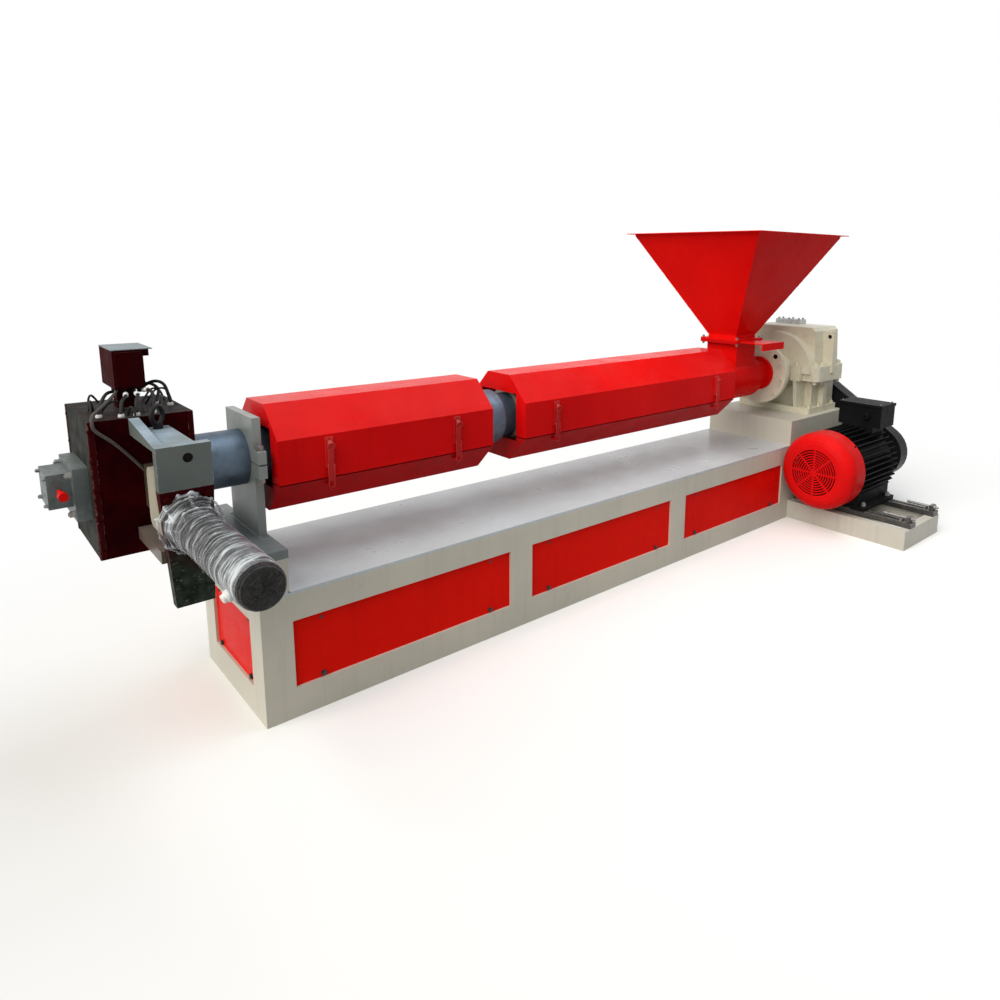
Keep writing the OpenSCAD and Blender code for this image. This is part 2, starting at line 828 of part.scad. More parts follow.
lower_half = case_w / 2 - lower_inset;
lug_y = (boss_d + lug_w) / 2 + lug_fit;
joint_half = case_w / 2 + joint_side;
z_foot = pad_z + foot_t;

// Flange at the joint between the two cases, with a boss on each side of the bearing
module joint_flange(z0) {
  translate([0, 0, z0]) linear_extrude(joint_t)
    rounded_plan([x_case - joint_front, x_case1], [-joint_half, joint_half], joint_r);
  for (s = [-1, 1])
    block([x_arch - lug_out, x_case], [s * lug_y - lug_w / 2, s * lug_y + lug_w / 2], [z0, z0 + joint_t]);
}

// Rib on both sides of a case, from its wall outwards
module side_ribs(half, out, z0, z1) {
  for (s = [-1, 1])
    translate([0, s * half, 0]) mirror([0, s < 0 ? 1 : 0, 0])
      block([x_case + rib_set, x_case + rib_set + rib_t], [-case_draft, out], [z0, z1]);
}

// Lower case: foot, walls, the lower half of the output bearing and its two webs
module gearbox_lower() color(cream) {
  translate([0, 0, pad_z]) linear_extrude(foot_t)
    rounded_plan([x_arch, x_case1], [-lower_half - foot_out, lower_half + foot_out], joint_r / 2);
  block([x_case + lower_inset, x_case1], [-lower_half, lower_half], [z_foot, axis_z]);
  intersection() {
    rod(x_arch, x_case + lower_inset, boss_d);
    block([x_arch, x_case1], [-boss_d, boss_d], [pad_z, axis_z]);
  }
  for (s = [-1, 1])
    translate([0, s * lug_y + web_t / 2, 0]) rotate([90, 0, 0]) linear_extrude(web_t) polygon([
      [x_arch, z_foot], [x_case + lower_inset, z_foot],
      [x_case + lower_inset, axis_z - joint_t], [x_arch - lug_out, axis_z - joint_t]
    ]);
  side_ribs(lower_half, foot_out, z_foot, axis_z - joint_t);
  joint_flange(axis_z - joint_t);
}

// Upper case: drafted walls, the bearing arch and ribs with lifting holes
module gearbox_upper() color(cream) difference() {
  union() {
    top_half = case_w / 2 - case_draft;
    translate([0, 0, axis_z]) along_x(x_case, case_len) polygon([
      [-case_w / 2, 0], [case_w / 2, 0], [top_half, case_rise - case_chamfer],
      [top_half - case_chamfer, case_rise], [case_chamfer - top_half, case_rise],
      [-top_half, case_rise - case_chamfer]
    ]);
    intersection() {
      rod(x_arch, x_case, arch_d);
      block([x_arch, x_case], [-arch_d, arch_d], [axis_z, axis_z + arch_d]);
    }
    side_ribs(case_w / 2, rib_out, axis_z, axis_z + case_rise - case_chamfer);
    joint_flange(axis_z);
  }
  for (s = [-1, 1])
    rod(x_case, x_case1, lift_hole_d, s * (case_w + rib_out) / 2, axis_z + case_rise - lift_drop);
}

// Round flange that carries the feed throat, and its bearing boss
module output_flange() color(cream) {
  rod(x_output, x_output + output_t, output_d);
  rod(x_output + output_t, x_arch, boss_d);
}

module inspection_cap() color(steel)
  block([x_case + cap_set, x_case + cap_set + cap_len], [cap_y - cap_w / 2, cap_y + cap_w / 2],
        [axis_z + case_rise, axis_z + case_rise + cap_t]);

// Bearing cap and shaft on the input side
module input_cap() color(cream) {
  x_cap = x_case1 + drive_margin / 2;
  rod(x_case1, x_cap, input_cap_d, input_y);
  rod(x_cap, bed_x1, shaft_d, input_y);
}

base_y0 = -y_side - base_reach;

// Welded base beside the bed
module motor_base() color(cream) difference() {
  block([x_base, x_base + base_len], [base_y0, -y_side], [0, base_h]);
  block([x_base + beam_w, x_base + base_len - beam_w],
        [base_y0 + beam_w, -y_side - beam_w], [-cut, base_h + cut]);
}

x_feet = [x_shaft - foot_setback - foot_pitch, x_shaft - foot_setback];

// Two slotted rails that the motor slides on to tension the belts
module slide_rails() color(steel)
  for (x = x_feet)
    difference() {
      block([x - rail_w / 2, x + rail_w / 2], [base_y0, -y_side], [base_h, z_rail]);
      block([x - slot_w / 2, x + slot_w / 2], [base_y0 + beam_w, -y_side - beam_w],
            [base_h + rail_h / 2, z_rail + cut]);
    }

x_sole = [x_feet[0] - foot_w / 2, x_feet[1] + foot_w / 2];
x_box = [x_shield + motor_box_over - motor_box_len, x_shield + motor_box_over];
y_box = -motor_y - motor_box_y;
z_fins = z_motor + fin_d / 2;

// Finned motor frame on its feet, with the drive end shield and shaft
module motor_frame() color(black) {
  translate([0, -motor_y, z_motor]) {
    along_x(x_motor, motor_len) {
      circle(d = motor_core_d);
      for (i = [0:fin_count - 1])
        rotate(i * 360 / fin_count) translate([0, -fin_t / 2]) square([fin_d / 2, fin_t]);
    }
    translate([x_shield, 0, 0]) rotate([0, 90, 0]) cylinder(d1 = motor_core_d, d2 = shield_d, h = shield_len);
    rod(x_shaft, bed_x1, shaft_d, 0, 0);
  }
  for (s = [-1, 1])
    translate([0, -motor_y + s * foot_gauge / 2, 0]) mirror([0, s < 0 ? 1 : 0, 0]) {
      block(x_sole, [-foot_w / 2, foot_w / 2], [z_rail, z_rail + motor_foot_t]);
      block(x_sole, [-leg_t, 0], [z_rail, z_motor - leg_drop]);
    }
  block([x_box[0], x_shield], [y_box - motor_box_w / 3, y_box + motor_box_w / 3], [z_motor, z_fins]);
}

module motor_terminal_box() color(black)
  block(x_box, [y_box - motor_box_w / 2, y_box + motor_box_w / 2], [z_fins, z_fins + motor_box_h]);

// Profile of the cowl's dome at one angle of its quarter ellipse, inset by the sheet
function dome(angle, inset) = [
  cowl_face_d / 2 + (cowl_d - cowl_face_d) / 2 * sin(angle) - inset * sin(angle),
  cowl_dome * (1 - cos(angle)) + inset * cos(angle)
];
dome_steps = [for (a = [0:15:90]) a];

// Slots of the cowl's front: rings cut through by spokes
module grille() {
  ring_pitch = cowl_face_d / 2 / (grille_rings + 1);
  difference() {
    for (i = [1:grille_rings])
      difference() {
        circle(r = i * ring_pitch + grille_slot / 2);
        circle(r = i * ring_pitch - grille_slot / 2);
      }
    for (i = [0:3]) rotate(i * 45) square([cowl_d, grille_spoke], center = true);
  }
}

// Fan cowl: a pressed sheet shell, open to the motor, with a slotted front
module fan_cowl() color(red)
  translate([x_cowl, -motor_y, z_motor]) rotate([0, 90, 0]) difference() {
    rotate_extrude() polygon(concat(
      [[0, 0]], [for (a = dome_steps) dome(a, 0)], [[cowl_d / 2, cowl_len]],
      [[cowl_d / 2 - cowl_t, cowl_len]],
      [for (i = [1:len(dome_steps)]) dome(dome_steps[len(dome_steps) - i], cowl_t)], [[0, cowl_t]]
    ));
    translate([0, 0, -cut]) linear_extrude(cowl_t + 2 * cut) grille();
  }

module belt_guard() color(black)
  hull()
    for (c = [[input_y, axis_z, guard_top_r], [-motor_y, z_motor, guard_low_r]]) {
      rod(bed_x1, bed_x1 + guard_d - guard_round, 2 * c[2], c[0], c[1], $fn = 32);
      rod(bed_x1, bed_x1 + guard_d, 2 * (c[2] - guard_round), c[0], c[1], $fn = 32);
    }

module die_box() color(dark_red)
  block([x_die, x_nose], [y_die, -y_die], [z_die, z_die_top]);

// Outlet block with the strand die on it, drilled with two rows of holes
module outlet_block() color(steel) difference() {
  union() {
    block([x_outlet, x_die], [-outlet_w / 2, outlet_w / 2],
          [axis_z - outlet_drop - outlet_h / 2, axis_z - outlet_drop + outlet_h / 2]);
    block([x_strand, x_outlet], [-strand_w / 2, strand_w / 2], [axis_z - strand_h / 2, axis_z + strand_h / 2]);
  }
  for (i = [-2.5:2.5], j = [-0.5, 0.5])
    rod(x_strand - cut, x_strand + strand_hole_l, strand_hole_d,
        i * strand_pitch, axis_z + j * 2 * strand_pitch);
}

// Round handle with a knob, on the near side of the strand die
module die_handle() color(red)
  translate([(x_strand + x_outlet) / 2, -strand_w / 2, axis_z]) rotate([90, 0, 0]) {
    cylinder(r = handle_r / 2, h = handle_len);
    translate([0, 0, handle_len - handle_r]) cylinder(r = handle_r, h = 2 * handle_r);
  }

// Top bar: an end plate, a flat bar to the die box and a cheek that rises towards it
module top_bar() color(steel) {
  block([x_bar, x_bar + bar_w], [y_bar, y_bar + bar_end_t], [z_plate, z_bar]);
  block([x_bar, x_bar + bar_top_w], [y_bar, y_die], [z_bar - bar_t, z_bar]);
  along_x(x_bar, cheek_w) polygon([
    [y_bar + bar_end_t, z_bar - bar_t], [y_die, z_bar - bar_t], [y_die, z_bar + cheek_rise],
    [y_bar + bar_end_t, z_bar]
  ]);
}

// Housing that the screen slide runs through, with its corners rounded towards the die box
module slide_housing() color(cream)
  translate([x_bar + slide_inset, y_bar + plate_t, axis_z + slide_top - slide_h]) rotate([90, 0, 90])
    linear_extrude(bar_w - slide_inset) {
      square([slide_len - slide_r, slide_h]);
      translate([0, slide_r]) square([slide_len, slide_h - 2 * slide_r]);
      for (z = [slide_r, slide_h - slide_r]) translate([slide_len - slide_r, z]) circle(slide_r);
    }

// Screen slide that goes through the housing into the die box
module screen_slide() color(steel) {
  z_mid = axis_z + slide_top - slide_h / 2;
  block([x_bar_mid - screen_w / 2, x_bar_mid + screen_w / 2], [y_bar + plate_t + slide_len, y_die],
        [z_mid - screen_h / 2, z_mid + screen_h / 2]);
}

module low_bar() color(cream)
  block([x_bar, x_bar + bar_w], [y_bar + plate_t, y_die],
        [axis_z - low_bar_drop - low_bar_t, axis_z - low_bar_drop]);

// Plate that carries the cylinder, narrower at its lower edge
module cylinder_plate() color(dark_red)
  translate([0, y_bar + plate_t, 0]) rotate([90, 0, 0]) linear_extrude(plate_t) polygon([
    [x_bar, z_plate], [x_bar + bar_w, z_plate],
    [x_bar + bar_w - plate_taper, z_plate - plate_h], [x_bar + plate_taper, z_plate - plate_h]
  ]);

// Hydraulic cylinder that pushes the screen slide, with its flange and end cap
module hydraulic_cylinder() color(steel)
  translate([x_bar_mid, y_bar, axis_z - cylinder_drop]) rotate([90, 0, 0]) {
    cylinder(d = cylinder_flange_d, h = cylinder_flange_t);
    cylinder(d = cylinder_d, h = cylinder_len);
    translate([0, 0, cylinder_len]) cylinder(d = end_cap_d, h = end_cap_len);
  }

// Lifting eye: a ring on a collar
module lifting_eye() color(dark_grey)
  translate([x_bar_mid, y_die - eye_gap, z_bar]) rotate(eye_turn) {
    cylinder(d = 2 * eye_t, h = eye_t);
    translate([0, 0, eye_d / 2 + eye_t / 2]) rotate([90, 0, 0])
      rotate_extrude() translate([eye_d / 2 - eye_t / 2, 0]) circle(d = eye_t, $fn = 24);
  }

x_tbox = [x_die_mid - tbox_len / 2, x_die_mid + tbox_len / 2];
z_tbox = z_die_top + tbox_post_h;

// Terminal box on its post, with a tab on its right side
module terminal_box() color(dark_red) {
  translate([0, tbox_y, 0]) {
    block([x_die_mid - tbox_post_w / 2, x_die_mid + tbox_post_w / 2],
          [-tbox_post_w / 2, tbox_post_w / 2], [z_die_top, z_tbox]);
    block(x_tbox, [-tbox_w / 2, tbox_w / 2], [z_tbox, z_tbox + tbox_h]);
    block([x_tbox[1], x_tbox[1] + tab_len], [-tbox_w / 4, 0], [z_tbox + tbox_h - tab_len, z_tbox + tbox_h]);
  }
}

// Smooth route through points, with four steps between each two
function bend(a, b, c, d, t) = 0.5 * (2 * b + (c - a) * t + (2 * a - 5 * b + 4 * c - d) * t * t
  + (3 * b - a - 3 * c + d) * t * t * t);
function smooth(p) = concat([for (i = [0:len(p) - 2], t = [0:0.25:0.75])
  bend(p[max(i - 1, 0)], p[i], p[i + 1], p[min(i + 2, len(p) - 1)], t)], [p[len(p) - 1]]);

// Tube of eight sides along a route, with rings square to it
module tube(route, r) {
  sides = 8;
  last = len(route) - 1;
  rings = [for (i = [0:last])
    let (t = route[min(i + 1, last)] - route[max(i - 1, 0)],
         u = cross(t, lead_side) / norm(cross(t, lead_side)),
         w = cross(t, u) / norm(t))
    for (k = [0:sides - 1]) route[i] + r * (cos(k * 360 / sides) * u + sin(k * 360 / sides) * w)];
  walls = [for (i = [0:last - 1], k = [0:sides - 1])
    let (n = (k + 1) % sides)
    [i * sides + k, i * sides + n, (i + 1) * sides + n, (i + 1) * sides + k]];
  polyhedron(rings, concat([[for (k = [0:sides - 1]) sides - 1 - k]], walls,
    [[for (k = [0:sides - 1]) last * sides + k]]), convexity = 4);
}

lead_side = [1, 0.35, 0.2];

// Routes of the heater leads from under the terminal box to the die box's top: a list of offsets
// from the middle of that top for each lead, between a plug above and a plug below
lead_plug = 14;
lead_fit = 0.4;
lead_routes = [
  [[-35, 0], [-64, -60, 58], [-84, -92, 42], [-100, -122]],
  [[-10, -40], [-22, -96, 50], [-40, -132, 40], [-48, -152]],
  [[12, -50], [10, -104, 52], [-2, -136, 42], [-8, -156]],
  [[28, -30], [46, -84, 62], [48, -124, 46], [40, -144]],
  [[34, 0], [72, -24, 78], [100, -36, 66], [112, -44]],
  [[34, 30], [72, 40, 64], [96, 24, 44], [82, -4]]
];

// Whole route of one lead, with straight ends square to the faces they enter
function lead_route(q) = let (end = len(q) - 1, top = tbox_post_h - lead_fit) concat(
  [[q[0][0], q[0][1], top]],
  smooth(concat(
    [[q[0][0], q[0][1], top - lead_plug]],
    [for (i = [1:end - 1]) q[i]],
    [[q[end][0], q[end][1], lead_fit + lead_plug]]
  )),
  [[q[end][0], q[end][1], lead_fit]]
);

// Leads that stand in loops between the terminal box and the die box
module heater_leads() color(black)
  for (route = lead_routes)
    tube([for (q = lead_route(route)) [x_die_mid, 0, z_die_top] + q], lead_r);

bed_near_frame();
bed_far_frame();
bed_head_frame();
bed_drive_frame();
bed_top();
near_panels();
far_panels();
head_panel();
drive_panel();
head_beam();
head_plate();
drive_pedestal();
barrel_saddle();
barrel_cap();
barrel();
heater_bands();
front_tray();
front_hood();
front_latches();
rear_tray();
rear_hood();
rear_latches();
feed_throat();
feed_screw();
gate_frame();
gate_plate();
hopper();
gearbox_lower();
gearbox_upper();
output_flange();
inspection_cap();
input_cap();
motor_base();
slide_rails();
motor_frame();
motor_terminal_box();
fan_cowl();
belt_guard();
die_box();
outlet_block();
die_handle();
top_bar();
slide_housing();
screen_slide();
low_bar();
cylinder_plate();
hydraulic_cylinder();
lifting_eye();
terminal_box();
heater_leads();
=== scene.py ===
"""Looks of the plastic pelletizing machine: paint, steel, sheet metal and small parts on the fixed frame."""
import math

import bmesh
import bpy
from mathutils import Matrix, Vector, noise


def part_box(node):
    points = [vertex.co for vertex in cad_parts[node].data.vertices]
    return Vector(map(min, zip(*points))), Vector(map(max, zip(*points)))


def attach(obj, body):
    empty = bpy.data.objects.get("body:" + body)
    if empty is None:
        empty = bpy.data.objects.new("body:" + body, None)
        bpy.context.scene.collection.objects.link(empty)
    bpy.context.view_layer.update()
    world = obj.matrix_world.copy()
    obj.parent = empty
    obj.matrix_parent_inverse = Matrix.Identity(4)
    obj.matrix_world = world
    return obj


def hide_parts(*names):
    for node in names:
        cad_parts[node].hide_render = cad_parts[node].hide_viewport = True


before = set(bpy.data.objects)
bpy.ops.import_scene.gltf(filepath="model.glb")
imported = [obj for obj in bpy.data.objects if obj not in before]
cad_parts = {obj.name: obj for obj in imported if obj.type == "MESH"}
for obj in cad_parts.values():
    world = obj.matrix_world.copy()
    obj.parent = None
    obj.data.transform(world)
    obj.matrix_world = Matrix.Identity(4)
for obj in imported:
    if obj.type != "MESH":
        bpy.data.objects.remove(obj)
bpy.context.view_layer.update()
scene = bpy.context.scene


# Studio: a pale floor that fades into a white surround, a low soft sun off the die end as in the photo, and
# a weak lamp overhead that opens the shadows. The camera stands at eye height off the die end, with a
# wide lens.
def hang_lamp(lamp, place, shine):
    """Puts a lamp at a place, shining along a direction."""
    holder = bpy.data.objects.new(lamp.name, lamp)
    holder.location = place
    holder.rotation_euler = Vector(shine).to_track_quat("-Z", "Y").to_euler()
    scene.collection.objects.link(holder)


sun = bpy.data.lights.new("key_sun", "SUN")
sun.energy = 3.1
sun.angle = math.radians(60)
sun.color = (1.0, 0.96, 0.87)
hang_lamp(sun, (0, 0, 0), (0.76, 0.12, -0.62))
sky_lamp = bpy.data.lights.new("sky_lamp", "AREA")
sky_lamp.energy = 130
sky_lamp.size = 4.0
sky_lamp.color = (0.92, 0.96, 1.0)
SKY_LAMP_AT = Vector((2.6, -0.7, 5.2))
SKY_LAMP_AIM = Vector((2.4, -0.2, 0.6))
hang_lamp(sky_lamp, SKY_LAMP_AT, SKY_LAMP_AIM - SKY_LAMP_AT)

EYE = Vector((-0.7822, -2.5725, 1.5500))
LOOK_RIGHT = Vector((0.7456, -0.6663, 0.0117))
LOOK_UP = Vector((0.1127, 0.1433, 0.9833))
look_back = LOOK_RIGHT.cross(LOOK_UP).normalized()
camera_data = bpy.data.cameras.new("camera")
camera_data.lens = 26.305
camera_data.sensor_width = 36.0
camera_data.shift_x = -0.057
camera_data.shift_y = -0.1036
camera = bpy.data.objects.new("camera", camera_data)
camera.matrix_world = Matrix((
    (LOOK_RIGHT.x, LOOK_UP.x, look_back.x, EYE.x),
    (LOOK_RIGHT.y, LOOK_UP.y, look_back.y, EYE.y),
    (LOOK_RIGHT.z, LOOK_UP.z, look_back.z, EYE.z),
    (0, 0, 0, 1)))
scene.collection.objects.link(camera)
scene.camera = camera
scene.view_settings.view_transform = "Standard"


class Nodes:
    """Builds a node tree; an input takes a plain value or another node's output."""

    def __init__(self, tree):
        self.tree = tree

    def add(self, kind, settings=(), **sockets):
        """A new node; a short kind is a shader node's."""
        node = self.tree.nodes.new(kind if "Node" in kind else "ShaderNode" + kind)
        for key, value in settings:
            setattr(node, key, value)
        for key, value in sockets.items():
            self.feed(node.inputs[key.replace("_", " ")], value)
        return node

    def feed(self, socket, value):
        if isinstance(value, bpy.types.NodeSocket):
            self.tree.links.new(value, socket)
        else:
            socket.default_value = value

    def join(self, kind, settings, *values):
        """The output of a node whose inputs are fed in their order."""
        node = self.add(kind, settings)
        for socket, value in zip(node.inputs, values):
            self.feed(socket, value)
        return node.outputs[0]

    def combine(self, operation, *values):
        return self.join("Math", [("operation", operation)], *values)

    def blend(self, amount, under, over):
        """Two colours mixed by an amount."""
        node = self.add("Mix", [("data_type", "RGBA")])
        for socket, value in ((0, amount), (6, under), (7, over)):
            self.feed(node.inputs[socket], (*value, 1) if isinstance(value, tuple) else value)
        return node.outputs[2]

    def seen_rays(self):
        """1 on rays from the camera, a reflection or a see-through surface, 0 on the light on things."""
        path = self.add("LightPath").outputs
        seen = self.combine("MAXIMUM", path["Is Camera Ray"], path["Is Glossy Ray"])
        return self.combine("MAXIMUM", seen, path["Is Transmission Ray"])


world = bpy.data.worlds.new("surround")
scene.world = world
world.use_nodes = True
surround = Nodes(world.node_tree)
soft_sky = surround.tree.nodes["Background"]
soft_sky.inputs["Color"].default_value = (0.93, 0.96, 1.0, 1)
soft_sky.inputs["Strength"].default_value = 0.25
white_sky = surround.add("Background", Color=(1, 1, 1, 1), Strength=1.0)
sky = surround.join("MixShader", (), surround.seen_rays(), soft_sky.outputs[0], white_sky.outputs[0])
surround.feed(surround.tree.nodes["World Output"].inputs["Surface"], sky)

FLOOR_HALF = 40.0
floor_mesh = bpy.data.meshes.new("floor")
floor_mesh.from_pydata(
    [(-FLOOR_HALF, -FLOOR_HALF, 0), (FLOOR_HALF, -FLOOR_HALF, 0),
     (FLOOR_HALF, FLOOR_HALF, 0), (-FLOOR_HALF, FLOOR_HALF, 0)],
    [], [(0, 1, 2, 3)])
floor = bpy.data.objects.new("floor", floor_mesh)
scene.collection.objects.link(floor)
floor_paint = bpy.data.materials.new("floor_paint")
floor_paint.use_nodes = True
ground = Nodes(floor_paint.node_tree)
ground.tree.nodes.clear()
seen = ground.seen_rays()
near_floor = ground.add("BsdfDiffuse", Color=ground.blend(seen, (0.40, 0.40, 0.40), (0.92, 0.92, 0.92)))
far_floor = ground.add("Emission", Color=(1, 1, 1, 1), Strength=1.0)
from_machine = ground.add("Mapping", [("vector_type", "TEXTURE")], Location=(1.7, -0.2, 0),
                          Scale=(3.6, 2.2, 1), Vector=ground.add("TexCoord").outputs["Object"])
how_far = ground.add("VectorMath", [("operation", "LENGTH")])
ground.feed(how_far.inputs[0], from_machine.outputs[0])
fade = ground.add("MapRange", [("interpolation_type", "SMOOTHSTEP")], Value=how_far.outputs["Value"],
                  From_Min=0.55, From_Max=1.25)
only_seen = ground.combine("MULTIPLY", fade.outputs["Result"], seen)
floor_look = ground.join("MixShader", (), only_seen, near_floor.outputs[0], far_floor.outputs[0])
ground.add("OutputMaterial", Surface=floor_look)
floor_mesh.materials.append(floor_paint)


# Bed: box-section members welded into a long frame under a plain steel top, all brushed over with one
# cream machine enamel. The coat drifts a little in tone, dust lies on what faces up, and rain and
# shop dirt have left faint runs on the sides. The top is given a blue-grey in place of the cream:
# painted sky light.
class Finish(Nodes):
    """A material built node by node on the piece's own Object coordinates, in metres."""

    def __init__(self, name):
        self.material = bpy.data.materials.new(name)
        self.material.use_nodes = True
        super().__init__(self.material.node_tree)
        self.shader = self.tree.nodes["Principled BSDF"]
        self.place = self.add("TexCoord").outputs["Object"]

    def stretch(self, scale, turn=(0, 0, 0)):
        return self.add("Mapping", Vector=self.place, Scale=scale, Rotation=turn).outputs[0]

    def cloud(self, scale, detail=4.0, rough=0.55, on=None, twist=0.0):
        return self.add("TexNoise", Vector=on or self.place, Scale=scale, Detail=detail,
                        Roughness=rough, Distortion=twist).outputs["Fac"]

    def cells(self, scale):
        return self.add("TexVoronoi", Vector=self.place, Scale=scale).outputs["Distance"]

    def span(self, value, low, high, to_low=0.0, to_high=1.0):
        """A range of values stretched over another range."""
        return self.add("MapRange", Value=value, From_Min=low, From_Max=high, To_Min=to_low,
                        To_Max=to_high).outputs["Result"]

    def times(self, a, b):
        return self.combine("MULTIPLY", a, b)

    def plus(self, a, b):
        return self.combine("ADD", a, b)

    def mottle(self, scale, dark, pale, low=0.3, high=0.7):
        """Soft patches of two colours."""
        return self.blend(self.span(self.cloud(scale), low, high), dark, pale)

    def uneven(self, scale, low, high):
        """A number that drifts between two values over the surface."""
        return self.span(self.cloud(scale), 0.3, 0.7, low, high)

    def facing(self, axis):
        """How far the surface looks along an axis."""
        return self.add("SeparateXYZ", Vector=self.add("NewGeometry").outputs["Normal"]).outputs[axis]

    def along(self, axis):
        """The place along an axis."""
        return self.add("SeparateXYZ", Vector=self.place).outputs[axis]

    def edges(self, radius):
        """1 along the sharp outer edges of a piece, 0 on its flats."""
        turn = self.add("VectorMath", [("operation", "DOT_PRODUCT")])
        self.feed(turn.inputs[0], self.add("Bevel", [("samples", 4)], Radius=radius).outputs[0])
        self.feed(turn.inputs[1], self.add("NewGeometry").outputs["Normal"])
        return self.span(turn.outputs["Value"], 0.99, 0.86)

    def rough_up(self, height, distance, strength=1.0, under=None):
        node = self.add("Bump", Height=height, Distance=distance, Strength=strength)
        if under is not None:
            self.feed(node.inputs["Normal"], under)
        return node.outputs[0]

    def close(self, **sockets):
        for key, value in sockets.items():
            value = (*value, 1) if isinstance(value, tuple) and len(value) == 3 else value
            self.feed(self.shader.inputs[key.replace("_", " ")], value)
        return self.material


def enamel(name, tone, deep, wear_and_glint_tone=(0.20, 0.18, 0.16), rough=0.34, coat=0.0, shine=0.22, dust_and_sky_sheen=0.25, soil=0.25,
           wave=0.0015, chips_and_glint=0.25, top_face_tone=(0.60, 0.57, 0.50), soil_tone=(0.16, 0.12, 0.08)):
    """Brushed machine enamel over sheet or castings. What faces up takes a top-face tone, settled dust on
    most parts and painted sky reflection where that tone is pale blue-grey or salmon; the edges take an edge
    tone, worn paint on most parts and painted highlight on the black slide rails and the grey top bar.
    """
    paint = Finish(name)
    drift = paint.span(paint.cloud(1.7, 5, 0.6), 0.32, 0.68)
    colour = paint.blend(drift, deep, tone)
    specks = paint.span(paint.cloud(46, 3, 0.7), 0.60, 0.74)
    colour = paint.blend(paint.times(specks, 0.35 * soil), colour, soil_tone)
    runs = paint.span(paint.cloud(1.0, 6, 0.65, paint.stretch((26, 26, 1.3)), 0.4), 0.52, 0.80)
    colour = paint.blend(paint.times(runs, soil), colour, soil_tone)
    # What faces up takes the top-face tone in patches: settled dust on most parts, painted sky reflection on
    # the parts whose top-face tone is pale blue-grey or salmon.
    faces_up = paint.span(paint.facing("Z"), 0.45, 0.95)
    patchy = paint.span(paint.cloud(5.5, 6, 0.65), 0.30, 0.75)
    top_cover = paint.times(paint.times(faces_up, patchy), dust_and_sky_sheen)
    colour = paint.blend(top_cover, colour, top_face_tone)
    # Edges take the edge tone: worn paint on most parts, painted highlight on the black slide rails and the
    # grey top bar.
    edge_mark = paint.times(paint.edges(0.004), paint.span(paint.cloud(60, 4, 0.7), 0.50, 0.66))
    colour = paint.blend(paint.times(edge_mark, chips_and_glint), colour, wear_and_glint_tone)
    sheen = paint.span(paint.cloud(9, 5, 0.6), 0.3, 0.7, rough - 0.07, rough + 0.10)
    sheen = paint.plus(sheen, paint.times(top_cover, 0.4))
    relief = paint.rough_up(paint.cloud(2.6, 2, 0.5), wave)
    relief = paint.rough_up(paint.cloud(240, 2, 0.5), 0.00035, 0.5, relief)
    return paint.close(Base_Color=colour, Roughness=sheen, Normal=relief, Specular_IOR_Level=shine,
                       Coat_Weight=coat, Coat_Roughness=0.10)


def dress(material, *nodes):
    """Gives CAD nodes their finish."""
    for node in nodes:
        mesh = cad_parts[node].data
        mesh.materials.clear()
        mesh.materials.append(material)


bed_enamel = enamel("bed_enamel", (0.62, 0.59, 0.50), (0.53, 0.51, 0.44), dust_and_sky_sheen=0.35, soil=0.16, wave=0.001,
                    shine=0.3)
# The bed top's blue-grey tone, and the paler blue-grey on it, are painted sky light on the cream top.
top_enamel = enamel("top_enamel", (0.55, 0.60, 0.62), (0.46, 0.51, 0.53), dust_and_sky_sheen=0.55, soil=0.22, rough=0.26,
                    shine=0.5, coat=0.3, top_face_tone=(0.54, 0.57, 0.60))
dress(bed_enamel, "bed_near_frame", "bed_far_frame", "bed_head_frame", "bed_drive_frame")
dress(top_enamel, "bed_top")


# Bed panels: red enamelled sheet doors, three a side and one at each end, let into the openings and
# held by black turn clips along their lower edge, with two short hand slots at the top corners, which
# are black pads of painted shade.
def add_piece(name, mesh, material, body="frame"):
    """Adds a finished mesh as a piece that moves with a body."""
    mesh.materials.clear()
    mesh.materials.append(material)
    piece = bpy.data.objects.new(name, mesh)
    scene.collection.objects.link(piece)
    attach(piece, body)
    return piece


class Pattern(Nodes):
    """A Geometry Nodes tree with named sizes, a seed and a finish."""

    def __init__(self, name, base, sizes, more=()):
        super().__init__(bpy.data.node_groups.new(name, "GeometryNodeTree"))
        kinds = [(base, "Geometry"), *((size, "Float") for size in sizes), *more]
        for title, kind in (*kinds, ("Seed", "Int"), ("Finish", "Material")):
            self.tree.interface.new_socket(title, in_out="INPUT", socket_type="NodeSocket" + kind)
        self.tree.interface.new_socket("Parts", in_out="OUTPUT", socket_type="NodeSocketGeometry")
        self.inputs = self.add("NodeGroupInput").outputs
        self.sizes = [self.inputs[size] for size in sizes]

    def any_up_to(self, most, least=0.0):
        """A random number for each point, from the seed."""
        draw = self.add("FunctionNodeRandomValue", [("data_type", "FLOAT")], Seed=self.inputs["Seed"])
        self.feed(draw.inputs[2], least)
        self.feed(draw.inputs[3], most)
        return draw.outputs[1]

    def paint(self, shape):
        """Gives the shape its finish and ends the tree."""
        real = self.add("GeometryNodeRealizeInstances", Geometry=shape)
        dressed = self.add("GeometryNodeSetMaterial", Geometry=real.outputs[0],
                           Material=self.inputs["Finish"])
        self.add("NodeGroupOutput", Parts=dressed.outputs[0])
        return self.tree


